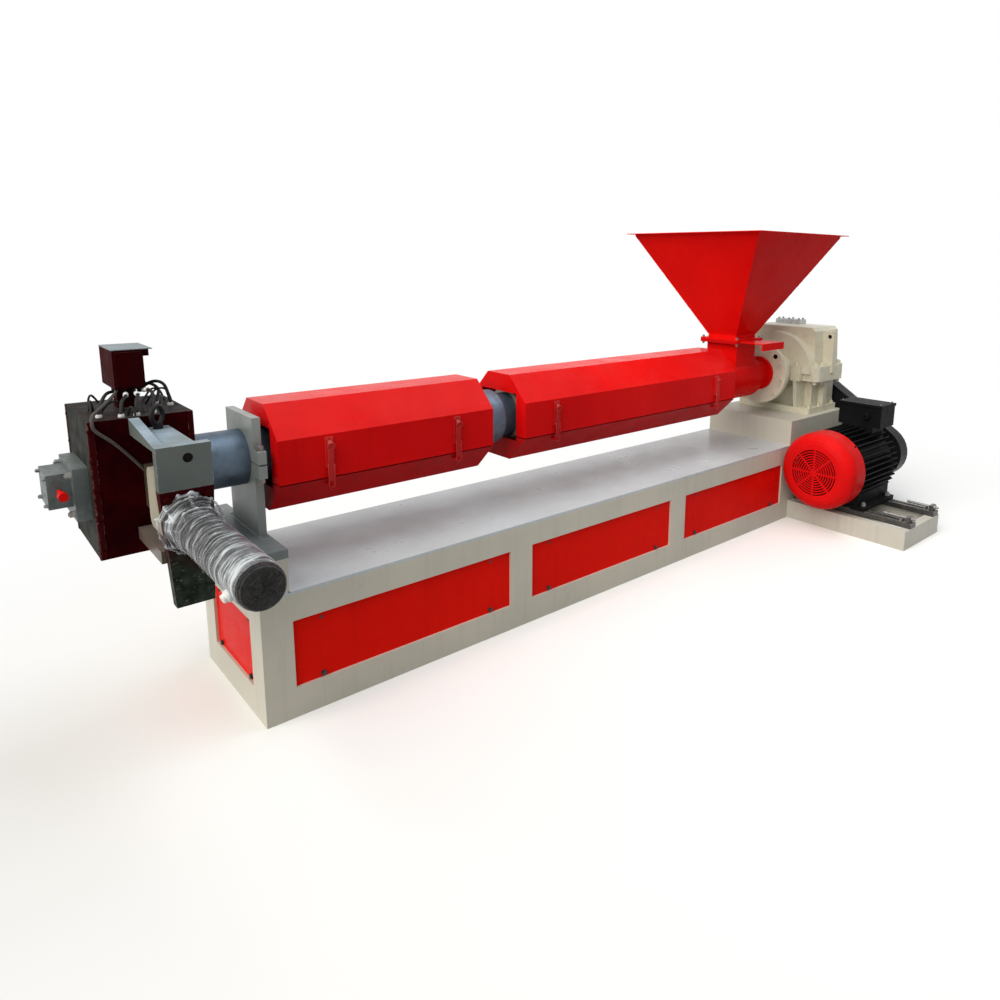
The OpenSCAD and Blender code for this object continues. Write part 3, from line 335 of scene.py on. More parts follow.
class Repeat(Pattern):
    """Sets one small part on each point of a mesh."""

    def __init__(self, name, sizes):
        super().__init__(name, "Points", sizes, [("Turn", "Rotation")])
        self.solids = []

    def sum(self, *parts):
        """A number from terms that are (socket, factor) pairs."""
        first, *others = [self.combine("MULTIPLY", *part) for part in parts]
        for term in others:
            first = self.combine("ADD", first, term)
        return first

    def round_bar(self, sides, radius, depth, foot=0.0):
        """A prism of so many sides that stands on the height foot."""
        bar = self.add("GeometryNodeMeshCylinder", Vertices=sides, Radius=radius, Depth=depth)
        lift = self.add("CombineXYZ", Z=self.combine("MULTIPLY_ADD", depth, 0.5, foot))
        moved = self.add("GeometryNodeTransform", Geometry=bar.outputs["Mesh"], Translation=lift.outputs[0])
        self.solids.append(moved.outputs[0])

    def close(self, spin=math.pi / 3):
        joined = self.add("GeometryNodeJoinGeometry")
        for solid in self.solids:
            self.feed(joined.inputs[0], solid)
        twist = self.add("CombineXYZ", Z=self.any_up_to(spin))
        placed = self.add("GeometryNodeInstanceOnPoints", Points=self.inputs["Points"],
                          Instance=joined.outputs[0], Rotation=self.inputs["Turn"])
        turned = self.add("GeometryNodeRotateInstances", Instances=placed.outputs[0],
                          Rotation=twist.outputs[0])
        return self.paint(turned.outputs[0])


def grow(name, tree, mesh, values, body="frame"):
    """Runs a Geometry Nodes tree on a mesh and keeps the result as a plain piece."""
    piece = bpy.data.objects.new(name, mesh)
    scene.collection.objects.link(piece)
    rule = piece.modifiers.new(name, "NODES")
    rule.node_group = tree
    for item in tree.interface.items_tree:
        if item.name in values:
            rule[item.identifier] = values[item.name]
    graph = bpy.context.evaluated_depsgraph_get()
    result = bpy.data.meshes.new_from_object(piece.evaluated_get(graph))
    piece.modifiers.clear()
    piece.data = result
    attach(piece, body)


def set_on(name, tree, points, axis, material, sizes, body="frame", seed=1):
    """Sets a repeated part on points with its foot against a face that looks along axis."""
    mesh = bpy.data.meshes.new(name)
    mesh.from_pydata([tuple(p) for p in points], [], [])
    turn = Vector(axis).to_track_quat("Z", "Y").to_euler()
    grow(name, tree, mesh, {**sizes, "Turn": turn, "Seed": seed, "Finish": material}, body)


# Red parts: the dark red soil tone is dirt; the pale salmon top-face tone is painted sky reflection on the
# gloss red.
RED_SOIL_AND_SKY_SHEEN = {"soil_tone": (0.16, 0.004, 0.004), "top_face_tone": (0.80, 0.24, 0.20)}
panel_enamel = enamel("panel_enamel", (0.86, 0.010, 0.004), (0.74, 0.006, 0.004), dust_and_sky_sheen=0.10, soil=0.14,
                      rough=0.24, shine=0.02, wave=0.004, wear_and_glint_tone=(0.25, 0.02, 0.015), **RED_SOIL_AND_SKY_SHEEN)
dress(panel_enamel, "near_panels", "far_panels", "head_panel", "drive_panel")

# One black for the clips; on the hand-slot pads the same black is painted shade.
black_clip = Finish("black_clip")
black_clip.close(Base_Color=black_clip.mottle(90, (0.008, 0.008, 0.009), (0.03, 0.03, 0.03)),
                 Roughness=black_clip.uneven(60, 0.35, 0.6),
                 Normal=black_clip.rough_up(black_clip.cloud(700), 0.0003))

clip_rule = Repeat("turn_clips", ["Clip radius", "Clip height", "Knob radius"])
clip_radius, clip_height, knob_radius = clip_rule.sizes
clip_rule.round_bar(16, clip_radius, clip_height)
clip_rule.round_bar(4, knob_radius, clip_rule.sum((clip_height, 1.2)), clip_rule.sum((clip_height, 0.9)))
turn_clips = clip_rule.close(spin=0.3)


def panel_sheets(node, along):
    """Low and high ends along X or Y of the separate sheets in a panel node."""
    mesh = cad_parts[node].data
    spans = []
    for tri in mesh.polygons:
        ends = [mesh.vertices[v].co[along] for v in tri.vertices]
        spans.append([min(ends), max(ends)])
    spans.sort()
    sheets = [spans[0]]
    for low, high in spans[1:]:
        if low <= sheets[-1][1] + 1e-5:
            sheets[-1][1] = max(sheets[-1][1], high)
        else:
            sheets.append([low, high])
    return sheets


CLIP_INSET = 0.11
CLIP_UP = 0.014
SLOT_DOWN = 0.020
CLIP_SIZES = {"Clip radius": 0.010, "Clip height": 0.004, "Knob radius": 0.009}
SLOT_SIZES = {"Clip radius": 0.006, "Clip height": 0.0015, "Knob radius": 0.004}
for node, along, axis in (("near_panels", 0, (0, -1, 0)), ("far_panels", 0, (0, 1, 0)),
                          ("head_panel", 1, (-1, 0, 0)), ("drive_panel", 1, (1, 0, 0))):
    low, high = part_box(node)
    across = 1 - along
    face = low[across] if axis[across] < 0 else high[across]
    clips, slot_shades = [], []
    for start, end in panel_sheets(node, along):
        inset = CLIP_INSET * (end - start)
        for spot in (start + inset, end - inset):
            for places, z in ((clips, low[2] + CLIP_UP), (slot_shades, high[2] - SLOT_DOWN)):
                point = [0, 0, z]
                point[along] = spot
                point[across] = face
                places.append(point)
    set_on(node + "_clips", turn_clips, clips, axis, black_clip.material, CLIP_SIZES, seed=3)
    # Hand slots: black pads of painted shade where the slots open into the dark frame.
    set_on(node + "_slots", turn_clips, slot_shades, axis, black_clip.material, SLOT_SIZES, seed=5)


# Pedestals: a box beam across the head end with a ground plate on it carries the barrel, and a deep
# welded pedestal at the drive end carries the gearbox. Fillet welds run round their feet.
bead_rule = Pattern("weld_bead", "Seam", ["Bead radius", "Ripple pitch", "Unevenness"])
bead_radius, ripple_pitch, unevenness = bead_rule.sizes
seam = bead_rule.add("GeometryNodeMeshToCurve", Mesh=bead_rule.inputs["Seam"])
ripples = bead_rule.add("GeometryNodeResampleCurve", [("mode", "LENGTH")], Curve=seam.outputs[0],
                        Length=ripple_pitch)
swell = bead_rule.any_up_to(1.0, bead_rule.combine("SUBTRACT", 1.0, unevenness))
uneven_seam = bead_rule.add("GeometryNodeSetCurveRadius", Curve=ripples.outputs[0], Radius=swell)
bead_ring = bead_rule.add("GeometryNodeCurvePrimitiveCircle", Resolution=6, Radius=bead_radius)
bead = bead_rule.add("GeometryNodeCurveToMesh", Curve=uneven_seam.outputs[0],
                     Profile_Curve=bead_ring.outputs[0], Fill_Caps=True)
if "Scale" in bead.inputs:
    bead_rule.feed(bead.inputs["Scale"], bead_rule.add("GeometryNodeInputRadius").outputs[0])
weld_bead = bead_rule.paint(bead.outputs[0])
WELD_SIZES = {"Bead radius": 0.004, "Ripple pitch": 0.006, "Unevenness": 0.3, "Seed": 2}


def weld(name, lines, material):
    """Lays weld beads along straight lines, each a pair of points."""
    mesh = bpy.data.meshes.new(name)
    mesh.from_pydata([tuple(p) for line in lines for p in line],
                     [(2 * i, 2 * i + 1) for i in range(len(lines))], [])
    grow(name, weld_bead, mesh, {**WELD_SIZES, "Finish": material})


def ranges(node):
    """The two ends of a CAD node along X, Y and Z."""
    return list(zip(*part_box(node)))


def foot_lines(node):
    """The four lines where a block stands on what is under it."""
    (x0, x1), (y0, y1), (z, _) = ranges(node)
    corners = [(x0, y0, z), (x1, y0, z), (x1, y1, z), (x0, y1, z)]
    return [(corners[i], corners[(i + 1) % 4]) for i in range(4)]


dress(bed_enamel, "head_beam", "drive_pedestal")
weld("pedestal_welds", [foot_lines("drive_pedestal")[3], foot_lines("head_beam")[1]], bed_enamel)
# The head plate's pale blue-grey top-face tone is painted sky reflection.
plate_enamel = enamel("plate_enamel", (0.24, 0.28, 0.28), (0.16, 0.19, 0.19), dust_and_sky_sheen=0.30, soil=0.30,
                      rough=0.34, wear_and_glint_tone=(0.14, 0.13, 0.12), top_face_tone=(0.40, 0.45, 0.48))
dress(plate_enamel, "head_plate")


# Barrel support: a flame-cut plate split on the barrel's axis, painted grey-green, with its cap held by
# a bolt and nut through the ears on each side.
bolt_rule = Repeat("hex_bolts", ["Across flats", "Head height", "Washer height"])
flats, head, washer = bolt_rule.sizes
bolt_rule.round_bar(20, bolt_rule.sum((flats, 0.62)), washer)
bolt_rule.round_bar(6, bolt_rule.sum((flats, 0.577)), head, washer)
bolt_rule.round_bar(16, bolt_rule.sum((flats, 0.46)), bolt_rule.sum((head, 0.12)),
                    bolt_rule.sum((washer, 1.0), (head, 0.98)))
bolt_rule.round_bar(12, bolt_rule.sum((flats, 0.27)), bolt_rule.sum((head, 0.45)),
                    bolt_rule.sum((washer, 1.0), (head, 0.9)))
hex_bolts = bolt_rule.close()

bolt_steel = Finish("bolt_steel")
rusty = bolt_steel.span(bolt_steel.cloud(70, 5, 0.7), 0.50, 0.70)
bolt_steel.close(Base_Color=bolt_steel.blend(rusty, (0.26, 0.26, 0.26), (0.13, 0.075, 0.04)), Metallic=0.7,
                 Roughness=bolt_steel.uneven(50, 0.32, 0.58),
                 Normal=bolt_steel.rough_up(bolt_steel.cloud(400, 3), 0.0004))


def bolts(name, points, axis, flats, material=bolt_steel.material, body="frame", seed=1):
    """Hexagon bolts of one size, with their washers against a face."""
    sizes = {"Across flats": flats, "Head height": 0.62 * flats, "Washer height": 0.14 * flats}
    set_on(name, hex_bolts, points, axis, material, sizes, body, seed)


# The saddle and cap's pale blue-grey top-face tone is painted sky reflection.
grey_enamel = enamel("grey_enamel", (0.36, 0.40, 0.39), (0.27, 0.30, 0.29), dust_and_sky_sheen=0.30, soil=0.30, rough=0.36,
                     wear_and_glint_tone=(0.16, 0.15, 0.14), top_face_tone=(0.46, 0.50, 0.53))
dress(grey_enamel, "barrel_saddle", "barrel_cap")
AXIS_Z = 0.868
EAR_H = 0.044
EAR_Y = 0.149
CLAMP_BOLT = 0.022
cap_x, _, cap_z = ranges("barrel_cap")
ears = [(sum(cap_x) / 2, side * EAR_Y) for side in (-1, 1)]
ear_reach = cap_z[0] - AXIS_Z + EAR_H
bolts("clamp_bolts", [(x, y, AXIS_Z + ear_reach) for x, y in ears], (0, 0, 1), CLAMP_BOLT)
bolts("clamp_nuts", [(x, y, AXIS_Z - ear_reach) for x, y in ears], (0, 0, -1), CLAMP_BOLT, seed=4)
near_weld, _, far_weld, end_weld = foot_lines("barrel_saddle")
weld("saddle_welds", [near_weld, far_weld, end_weld], grey_enamel)


# Barrel: a turned and nitrided steel tube with a flanged joint, dull blue-grey, heat-tinted near the
# covers, with turning lines round it. Mica band heaters in pressed steel sleeves clasp it.
def turned_steel(name, tone, deep, stain, rough=0.40, metal=0.6, lines=(420, 4, 4)):
    """Machined steel with tool marks and oil stains."""
    steel = Finish(name)
    marks = steel.cloud(1.0, 3, 0.6, steel.stretch(lines))
    colour = steel.blend(steel.span(steel.cloud(5, 5, 0.6), 0.3, 0.7), deep, tone)
    oil = steel.span(steel.cloud(22, 5, 0.7), 0.52, 0.72)
    colour = steel.blend(steel.times(oil, 0.55), colour, stain)
    return steel.close(Base_Color=colour, Metallic=metal, Normal=steel.rough_up(marks, 0.0004, 0.5),
                       Roughness=steel.span(marks, 0.3, 0.7, rough - 0.08, rough + 0.12))


barrel_steel = turned_steel("barrel_steel", (0.12, 0.17, 0.23), (0.06, 0.085, 0.115), (0.035, 0.03, 0.026))
dress(barrel_steel, "barrel")
band_steel = turned_steel("band_steel", (0.42, 0.38, 0.33), (0.22, 0.18, 0.14), (0.08, 0.05, 0.03),
                          lines=(60, 20, 20))
dress(band_steel, "heater_bands")


# Heater covers: eight-sided sheet steel tunnels folded in two halves and sprayed gloss red. The trays
# are a darker, duller red with more dark soil, and part of that darkness is painted shade under the
# hoods. Each hood hangs on far-side hinges and is held by two toggle latches
# with a pull ring and a wire bail that hooks under the tray's lip.
# The hoods' pale salmon tops come from that top-face tone: painted sky reflection.
hood_enamel = enamel("hood_enamel", (0.80, 0.006, 0.006), (0.64, 0.003, 0.004), dust_and_sky_sheen=0.10, soil=0.14,
                     rough=0.22, shine=0.035, wave=0.006, wear_and_glint_tone=(0.22, 0.02, 0.015), **RED_SOIL_AND_SKY_SHEEN)
# Trays: a darker red than the hoods, partly painted shade.
tray_enamel = enamel("tray_enamel", (0.62, 0.004, 0.005), (0.46, 0.003, 0.005), dust_and_sky_sheen=0.05, soil=0.5,
                     rough=0.34, shine=0.05, wave=0.005, wear_and_glint_tone=(0.10, 0.04, 0.03),
                     soil_tone=(0.06, 0.012, 0.008))
latch_enamel = enamel("latch_enamel", (0.72, 0.040, 0.038), (0.36, 0.010, 0.010), chips_and_glint=0.4, soil=0.18,
                      rough=0.28, shine=0.10, wear_and_glint_tone=(0.10, 0.07, 0.06), soil_tone=(0.12, 0.02, 0.02))
dress(hood_enamel, "front_hood", "rear_hood")
dress(tray_enamel, "front_tray", "rear_tray")
dress(latch_enamel, "front_latches", "rear_latches")


def ring_points(centre, radius, u, v, count):
    """Points round a circle in the plane of u and v."""
    turns = [2 * math.pi * k / count for k in range(count)]
    return [centre + radius * (math.cos(a) * u + math.sin(a) * v) for a in turns]


def skin(mesh, rings):
    """Faces between each ring of corners and the next; a ring of one corner is a pole."""
    count = max(len(ring) for ring in rings)
    for low, high in zip(rings, rings[1:]):
        for k in range(count):
            n = (k + 1) % count
            corners = (low[k % len(low)], high[k % len(high)], high[n % len(high)], low[n % len(low)])
            corners = list(dict.fromkeys(corners))
            if len(corners) > 2:
                mesh.faces.new(corners)


def smooth_mesh(name, mesh):
    """Turns the faces outwards and keeps the result as a smooth mesh."""
    bmesh.ops.recalc_face_normals(mesh, faces=mesh.faces)
    result = bpy.data.meshes.new(name)
    mesh.to_mesh(result)
    mesh.free()
    result.shade_smooth()
    return result


def tube_mesh(name, runs, radius, sides=10):
    """Round wire along each run of points; a run that ends where it starts is a closed ring."""
    mesh = bmesh.new()
    for run in runs:
        points = [Vector(p) for p in run]
        closed = (points[0] - points[-1]).length < 1e-7
        if closed:
            points.pop()
        count = len(points)
        rings = []
        side = None
        for i, point in enumerate(points):
            after = points[(i + 1) % count] if closed or i + 1 < count else point
            before = points[i - 1] if closed or i else point
            along = (after - before).normalized()
            if side is None:
                side = along.orthogonal().normalized()
            side = (side - along * side.dot(along)).normalized()
            circle = ring_points(point, radius, side, along.cross(side), sides)
            rings.append([mesh.verts.new(p) for p in circle])
        if closed:
            rings.append(rings[0])
        else:
            mesh.faces.new(rings[0])
            mesh.faces.new(rings[-1][::-1])
        skin(mesh, rings)
    return smooth_mesh(name, mesh)


LATCH_W = 0.030
LATCH_WIRE = 0.0023
PULL_RING = 0.013
PULL_DOWN = 0.030
LATCH_RIVET = 0.006
RIVET_SIDE = 0.010
bail = [(0.011, 0.004, 0.060), (0.011, 0.003, 0.020), (0.010, 0.006, -0.014), (0.007, 0.007, -0.024),
        (0, 0.007, -0.027)]
for cover in ("front", "rear"):
    (x0, x1), (y0, y1), (z0, z1) = ranges(cover + "_latches")
    wires, studs = [], []
    for x in (x0 + LATCH_W / 2, x1 - LATCH_W / 2):
        pull = ring_points(Vector((x, y0 - 0.002, z1 - PULL_DOWN)), PULL_RING, Vector((1, 0, 0)),
                           Vector((0, -0.25, 0.97)), 24)
        wires.append(pull + pull[:1])
        for side in (-1, 1):
            wires.append([(x + side * out, y0 + in_y, z0 + up) for out, in_y, up in bail])
        studs += [(x + side * RIVET_SIDE, y1 - 0.005, z) for side in (-1, 1)
                  for z in (z1 - 0.008, z0 + 0.055)]
    add_piece(cover + "_latch_wires", tube_mesh(cover + "_latch_wires", wires, LATCH_WIRE), latch_enamel,
              cover + "_hood")
    bolts(cover + "_latch_rivets", studs, (0, -1, 0), LATCH_RIVET, latch_enamel,
          cover + "_hood", 6)


# Feed: a cast throat with its water jacket, the screw that shows in it, the slide gate and the welded
# sheet hopper above, in the hoods' gloss red. Weld beads run down the hopper's corners.
feed_enamel = enamel("feed_enamel", (0.82, 0.006, 0.004), (0.68, 0.004, 0.004), dust_and_sky_sheen=0.10, soil=0.14,
                     rough=0.26, shine=0.02, wave=0.004, wear_and_glint_tone=(0.22, 0.02, 0.015), **RED_SOIL_AND_SKY_SHEEN)
dress(feed_enamel, "feed_throat", "gate_plate", "hopper")
dress(tray_enamel, "gate_frame")
screw_steel = turned_steel("screw_steel", (0.42, 0.43, 0.44), (0.28, 0.28, 0.29), (0.10, 0.08, 0.06),
                           0.30, 0.85)
dress(screw_steel, "feed_screw")
hopper_x, _, hopper_z = ranges("hopper")
THROAT_X = sum(hopper_x) / 2
HOPPER_NECK = 0.196 / 2
HOPPER_MOUTH = 0.852 / 2
HOPPER_RISE = 0.580
UNDER_RIM = 0.012
weld_top = HOPPER_MOUTH - UNDER_RIM * (HOPPER_MOUTH - HOPPER_NECK) / HOPPER_RISE
corner_lines = []
for sx in (-1, 1):
    for sy in (-1, 1):
        corner_lines.append((
            (THROAT_X + sx * HOPPER_NECK, sy * HOPPER_NECK, hopper_z[1] - HOPPER_RISE),
            (THROAT_X + sx * weld_top, sy * weld_top, hopper_z[1] - UNDER_RIM)))
weld("hopper_welds", corner_lines, feed_enamel)
GATE_BOLT_AT = 0.118
GATE_BOLT = 0.013
HOPPER_FLANGE_T = 0.010
gate_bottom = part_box("gate_frame")[0].z
gate_spots = [(THROAT_X + sx * GATE_BOLT_AT, sy * GATE_BOLT_AT) for sx in (-1, 1) for sy in (-1, 1)]
bolts("gate_bolts", [(x, y, hopper_z[0] + HOPPER_FLANGE_T) for x, y in gate_spots], (0, 0, 1), GATE_BOLT,
      seed=8)
bolts("gate_nuts", [(x, y, gate_bottom) for x, y in gate_spots], (0, 0, -1), GATE_BOLT, seed=9)


# Gearbox: two iron castings bolted along the shaft line, rough from the sand and painted cream, with
# a round output flange that takes the feed throat. Through bolts hold the joint, the foot and the lid.
def casting(name, tone, deep, rough=0.42, shine=0.3, soil=0.30, top_face_tone=(0.55, 0.53, 0.46)):
    """Paint over a rough sand casting."""
    paint = Finish(name)
    colour = paint.blend(paint.span(paint.cloud(3, 5, 0.6), 0.32, 0.68), deep, tone)
    dirt = paint.span(paint.cloud(14, 6, 0.7), 0.52, 0.75)
    colour = paint.blend(paint.times(dirt, soil), colour, tuple(0.3 * c for c in deep))
    faces_up = paint.times(paint.span(paint.facing("Z"), 0.4, 0.95), paint.span(paint.cloud(6, 6), 0.35, 0.75))
    colour = paint.blend(paint.times(faces_up, soil), colour, top_face_tone)
    edge_mark = paint.times(paint.edges(0.006), paint.span(paint.cloud(40, 4, 0.7), 0.48, 0.66))
    colour = paint.blend(paint.times(edge_mark, 0.35), colour, tuple(0.4 * c + 0.02 for c in deep))
    relief = paint.rough_up(paint.cloud(150, 4, 0.6), 0.0012, 0.6)
    relief = paint.rough_up(paint.cloud(18, 3, 0.5), 0.003, 0.5, relief)
    return paint.close(Base_Color=colour, Normal=relief, Specular_IOR_Level=shine,
                       Roughness=paint.uneven(24, rough - 0.06, rough + 0.10))


gearbox_enamel = casting("gearbox_enamel", (0.72, 0.69, 0.55), (0.63, 0.60, 0.47))
dress(gearbox_enamel, "gearbox_lower", "gearbox_upper", "output_flange", "input_cap")
zinc_plate = Finish("zinc_plate")
spangle = zinc_plate.span(zinc_plate.cells(60), 0.1, 0.7)
zinc_plate.close(Base_Color=zinc_plate.blend(spangle, (0.36, 0.37, 0.37), (0.52, 0.53, 0.54)), Metallic=0.7,
                 Roughness=zinc_plate.uneven(40, 0.32, 0.52),
                 Normal=zinc_plate.rough_up(zinc_plate.cloud(300), 0.0003))
dress(zinc_plate.material, "inspection_cap")


def case_bolts(name, points, axis, flats, seed):
    """Bolts painted over with the gearbox."""
    bolts(name, points, axis, flats, gearbox_enamel, seed=seed)


case_x = ranges("gearbox_upper")[0]
flange_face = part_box("output_flange")[0].x
OUTPUT_BOLT_R = 0.164
PRY_HOLE_R = 0.160
PRY_HOLE_AT = math.radians(135)
rim = [math.radians(9 + 36 * k) for k in range(10)]
rim = [a for a in rim if abs(a - PRY_HOLE_AT) > 0.2]
case_bolts("output_bolts", [(flange_face, OUTPUT_BOLT_R * math.cos(a), AXIS_Z + OUTPUT_BOLT_R * math.sin(a))
                            for a in rim], (-1, 0, 0), 0.017, 11)
hole_rule = Repeat("dark_holes", ["Hole radius", "Lip height"])
hole_rule.round_bar(24, *hole_rule.sizes)
dark_holes = hole_rule.close()
# Near-black pads standing for the shade inside drilled holes.
deep_black = Finish("deep_black")
deep_black.close(Base_Color=deep_black.mottle(120, (0.004, 0.004, 0.004), (0.014, 0.013, 0.012)),
                 Roughness=deep_black.uneven(80, 0.7, 0.95), Specular_IOR_Level=0.05)


def holes(name, points, axis, radius):
    """Black pads on a face where drilled holes are: painted shade for the holes' dark insides."""
    set_on(name, dark_holes, points, axis, deep_black.material,
           {"Hole radius": radius, "Lip height": 0.0008})


# The pry hole and lifting holes are pads of painted shade.
pry_spot = (flange_face, PRY_HOLE_R * math.cos(PRY_HOLE_AT), AXIS_Z + PRY_HOLE_R * math.sin(PRY_HOLE_AT))
holes("pry_hole_shade", [pry_spot], (-1, 0, 0), 0.015)
RIB_MIDDLE = (0.490 + 0.060) / 2
RIB_X = case_x[1] - 0.290 + 0.104 + 0.012
LIFT_Z = AXIS_Z + 0.286 - 0.057
holes("lift_hole_shades", [(RIB_X, side * RIB_MIDDLE, LIFT_Z) for side in (-1, 1)], (-1, 0, 0), 0.0125)
JOINT_T = 0.048
JOINT_BOLT = 0.026
joint_spots = [(case_x[1] - 0.040, 0.270), (case_x[1] - 0.245, 0.270), (case_x[0] + 0.075, 0.262),
               (case_x[0] + 0.014, 0.165)]
joint_spots = [(x, side * y) for x, y in joint_spots for side in (-1, 1)]
case_bolts("joint_bolts", [(x, y, AXIS_Z + JOINT_T) for x, y in joint_spots], (0, 0, 1), JOINT_BOLT, 12)
through_spots = [(x, y) for x, y in joint_spots if x > case_x[0] + 0.05]
case_bolts("joint_nuts", [(x, y, AXIS_Z - JOINT_T) for x, y in through_spots], (0, 0, -1), JOINT_BOLT, 13)
FOOT_TOP = 0.610 + 0.038
FOOT_BOLT_Y = 0.243
foot_places = (case_x[0] + 0.060, case_x[1] - 0.045, case_x[1] - 0.200)
case_bolts("foot_bolts", [(x, side * FOOT_BOLT_Y, FOOT_TOP) for x in foot_places for side in (-1, 1)],
           (0, 0, 1), 0.024, 14)
lid_x, lid_y, lid_z = ranges("inspection_cap")
lid_rows = (lid_y[0] + 0.016, sum(lid_y) / 2, lid_y[1] - 0.016)
bolts("lid_bolts", [(x, y, lid_z[1]) for x in (lid_x[0] + 0.014, lid_x[1] - 0.014) for y in lid_rows],
      (0, 0, 1), 0.011, seed=15)


# Motor: a cast, finned black frame with a domed end shield, a terminal box with a screwed lid, and a red
# pressed fan cowl with a slotted front. Four screws hold the cowl, and the feet are bolted to slide rails.
motor_enamel = casting("motor_enamel", (0.010, 0.010, 0.011), (0.004, 0.004, 0.005), 0.42, 0.03, 0.12,
                       (0.03, 0.03, 0.03))
cowl_enamel = enamel("cowl_enamel", (0.78, 0.008, 0.008), (0.56, 0.005, 0.006), dust_and_sky_sheen=0.08, soil=0.2,
                     rough=0.28, shine=0.03, wear_and_glint_tone=(0.2, 0.02, 0.02), **RED_SOIL_AND_SKY_SHEEN)
dress(motor_enamel, "motor_frame", "motor_terminal_box")
dress(cowl_enamel, "fan_cowl")
cowl_x, cowl_y, cowl_z = ranges("fan_cowl")
MOTOR_Y = sum(cowl_y) / 2
MOTOR_Z = sum(cowl_z) / 2
COWL_R = (cowl_y[1] - cowl_y[0]) / 2
COWL_SCREW_IN = 0.016
for k, angle in enumerate((45, 135, 225, 315)):
    out = Vector((0, math.cos(math.radians(angle)), math.sin(math.radians(angle))))
    spot = Vector((cowl_x[1] - COWL_SCREW_IN, MOTOR_Y, MOTOR_Z)) + out * (COWL_R - 0.001)
    bolts(f"cowl_screw_{k + 1}", [spot], out, 0.008, motor_enamel, seed=20 + k)


def add_plate(name, x, y, z, material, edge=0.002):
    """A flat plate between three ranges, with its edges broken."""
    mesh = bmesh.new()
    bmesh.ops.create_cube(mesh, size=1.0)
    for vert in mesh.verts:
        vert.co = Vector([ends[0] if place < 0 else ends[1] for place, ends in zip(vert.co, (x, y, z))])
    bmesh.ops.bevel(mesh, geom=mesh.edges[:], offset=edge, segments=2, affect="EDGES", profile=0.5)
    result = bpy.data.meshes.new(name)
    mesh.to_mesh(result)
    mesh.free()
    add_piece(name, result, material)


LID_OVER = 0.005
LID_TOP = 0.004
LID_SKIRT = 0.014
SCREW_INSET = 0.014
box_x, box_y, box_z = ranges("motor_terminal_box")
box_lid_z = box_z[1] + LID_TOP
add_plate("motor_box_lid", (box_x[0] - LID_OVER, box_x[1] + LID_OVER),
          (box_y[0] - LID_OVER, box_y[1] + LID_OVER), (box_z[1] - LID_SKIRT, box_lid_z),
          motor_enamel)
box_screws = [(x, y, box_lid_z) for x in (box_x[0] + SCREW_INSET, box_x[1] - SCREW_INSET)
              for y in (box_y[0] + SCREW_INSET, box_y[1] - SCREW_INSET)]
bolts("motor_lid_screws", box_screws, (0, 0, 1), 0.009, seed=25)


def add_turned(name, start, axis, outline, material, sides=32):
    """A turned part: pairs of distance along the axis and radius, spun about it."""
    start, axis = Vector(start), Vector(axis).normalized()
    u = axis.orthogonal().normalized()
    v = axis.cross(u)
    mesh = bmesh.new()
    rings = []
    for along, radius in outline:
        middle = start + axis * along
        circle = [middle] if radius < 1e-6 else ring_points(middle, radius, u, v, sides)
        rings.append([mesh.verts.new(p) for p in circle])
    skin(mesh, rings)
    result = smooth_mesh(name, mesh)
    result.set_sharp_from_angle(angle=math.radians(35))
    add_piece(name, result, material)


gland = [(0, 0), (0, 0.021), (0.010, 0.021), (0.010, 0.018), (0.026, 0.018), (0.030, 0.014), (0.030, 0.009),
         (0.024, 0.009), (0.024, 0)]
add_turned("motor_cable_gland", (box_x[0], sum(box_y) / 2 - 0.05, sum(box_z) / 2), (-1, 0, 0), gland,
           motor_enamel)


# Motor base: a welded cream frame on the floor, with two slotted slide rails across it. The motor's feet
# are bolted down in the slots, and a screw at each rail's near end pushes the motor to tension the belts.
base_enamel = enamel("base_enamel", (0.58, 0.56, 0.49), (0.48, 0.47, 0.42), dust_and_sky_sheen=0.4, soil=0.3, shine=0.3)
dress(base_enamel, "motor_base")
# The black rails' pale edge tone is painted highlight.
rail_enamel = enamel("rail_enamel", (0.06, 0.06, 0.06), (0.025, 0.025, 0.025), dust_and_sky_sheen=0.15, soil=0.45,
                     rough=0.36, shine=0.4, wear_and_glint_tone=(0.45, 0.46, 0.46), chips_and_glint=0.8)
dress(rail_enamel, "slide_rails")
rail_x, rail_y, rail_z = ranges("slide_rails")
rail_top = rail_z[1]
RAIL_W = 0.064
rail_middles = (rail_x[0] + RAIL_W / 2, rail_x[1] - RAIL_W / 2)
FOOT_GAUGE = 0.356
MOTOR_FOOT_T = 0.024
FOOT_OUT = 0.018
foot_reach = FOOT_GAUGE / 2 + FOOT_OUT
bolts("motor_foot_bolts", [(x, MOTOR_Y + side * foot_reach, rail_top + MOTOR_FOOT_T) for x in rail_middles
                           for side in (-1, 1)], (0, 0, 1), 0.024, seed=30)
JACK_HALF = 0.026
JACK_H = 0.034
JACK_UP = 0.020
JACK_END = 0.165
jack = [(0, 0), (0, 0.008), (0.150, 0.008), (0.150, 0.013), (0.162, 0.013), (0.162, 0.006), (0.176, 0.006),
        (0.176, 0)]
for k, x in enumerate(rail_middles):
    add_plate(f"jack_block_{k + 1}", (x - JACK_HALF, x + JACK_HALF), (rail_y[0] + 0.012, rail_y[0] + 0.032),
              (rail_top, rail_top + JACK_H), rail_enamel)
    add_turned(f"jack_screw_{k + 1}", (x, rail_y[0] + JACK_END, rail_top + JACK_UP), (0, -1, 0), jack,
               bolt_steel.material, 20)
RAIL_BOLT_SIDE = 0.021
rail_ends = (rail_y[0] + 0.060, rail_y[1] - 0.040)
bolts("rail_bolts", [(x + side * RAIL_BOLT_SIDE, y, rail_top) for x in rail_middles for side in (-1, 1)
                     for y in rail_ends], (0, 0, 1), 0.014, seed=31)


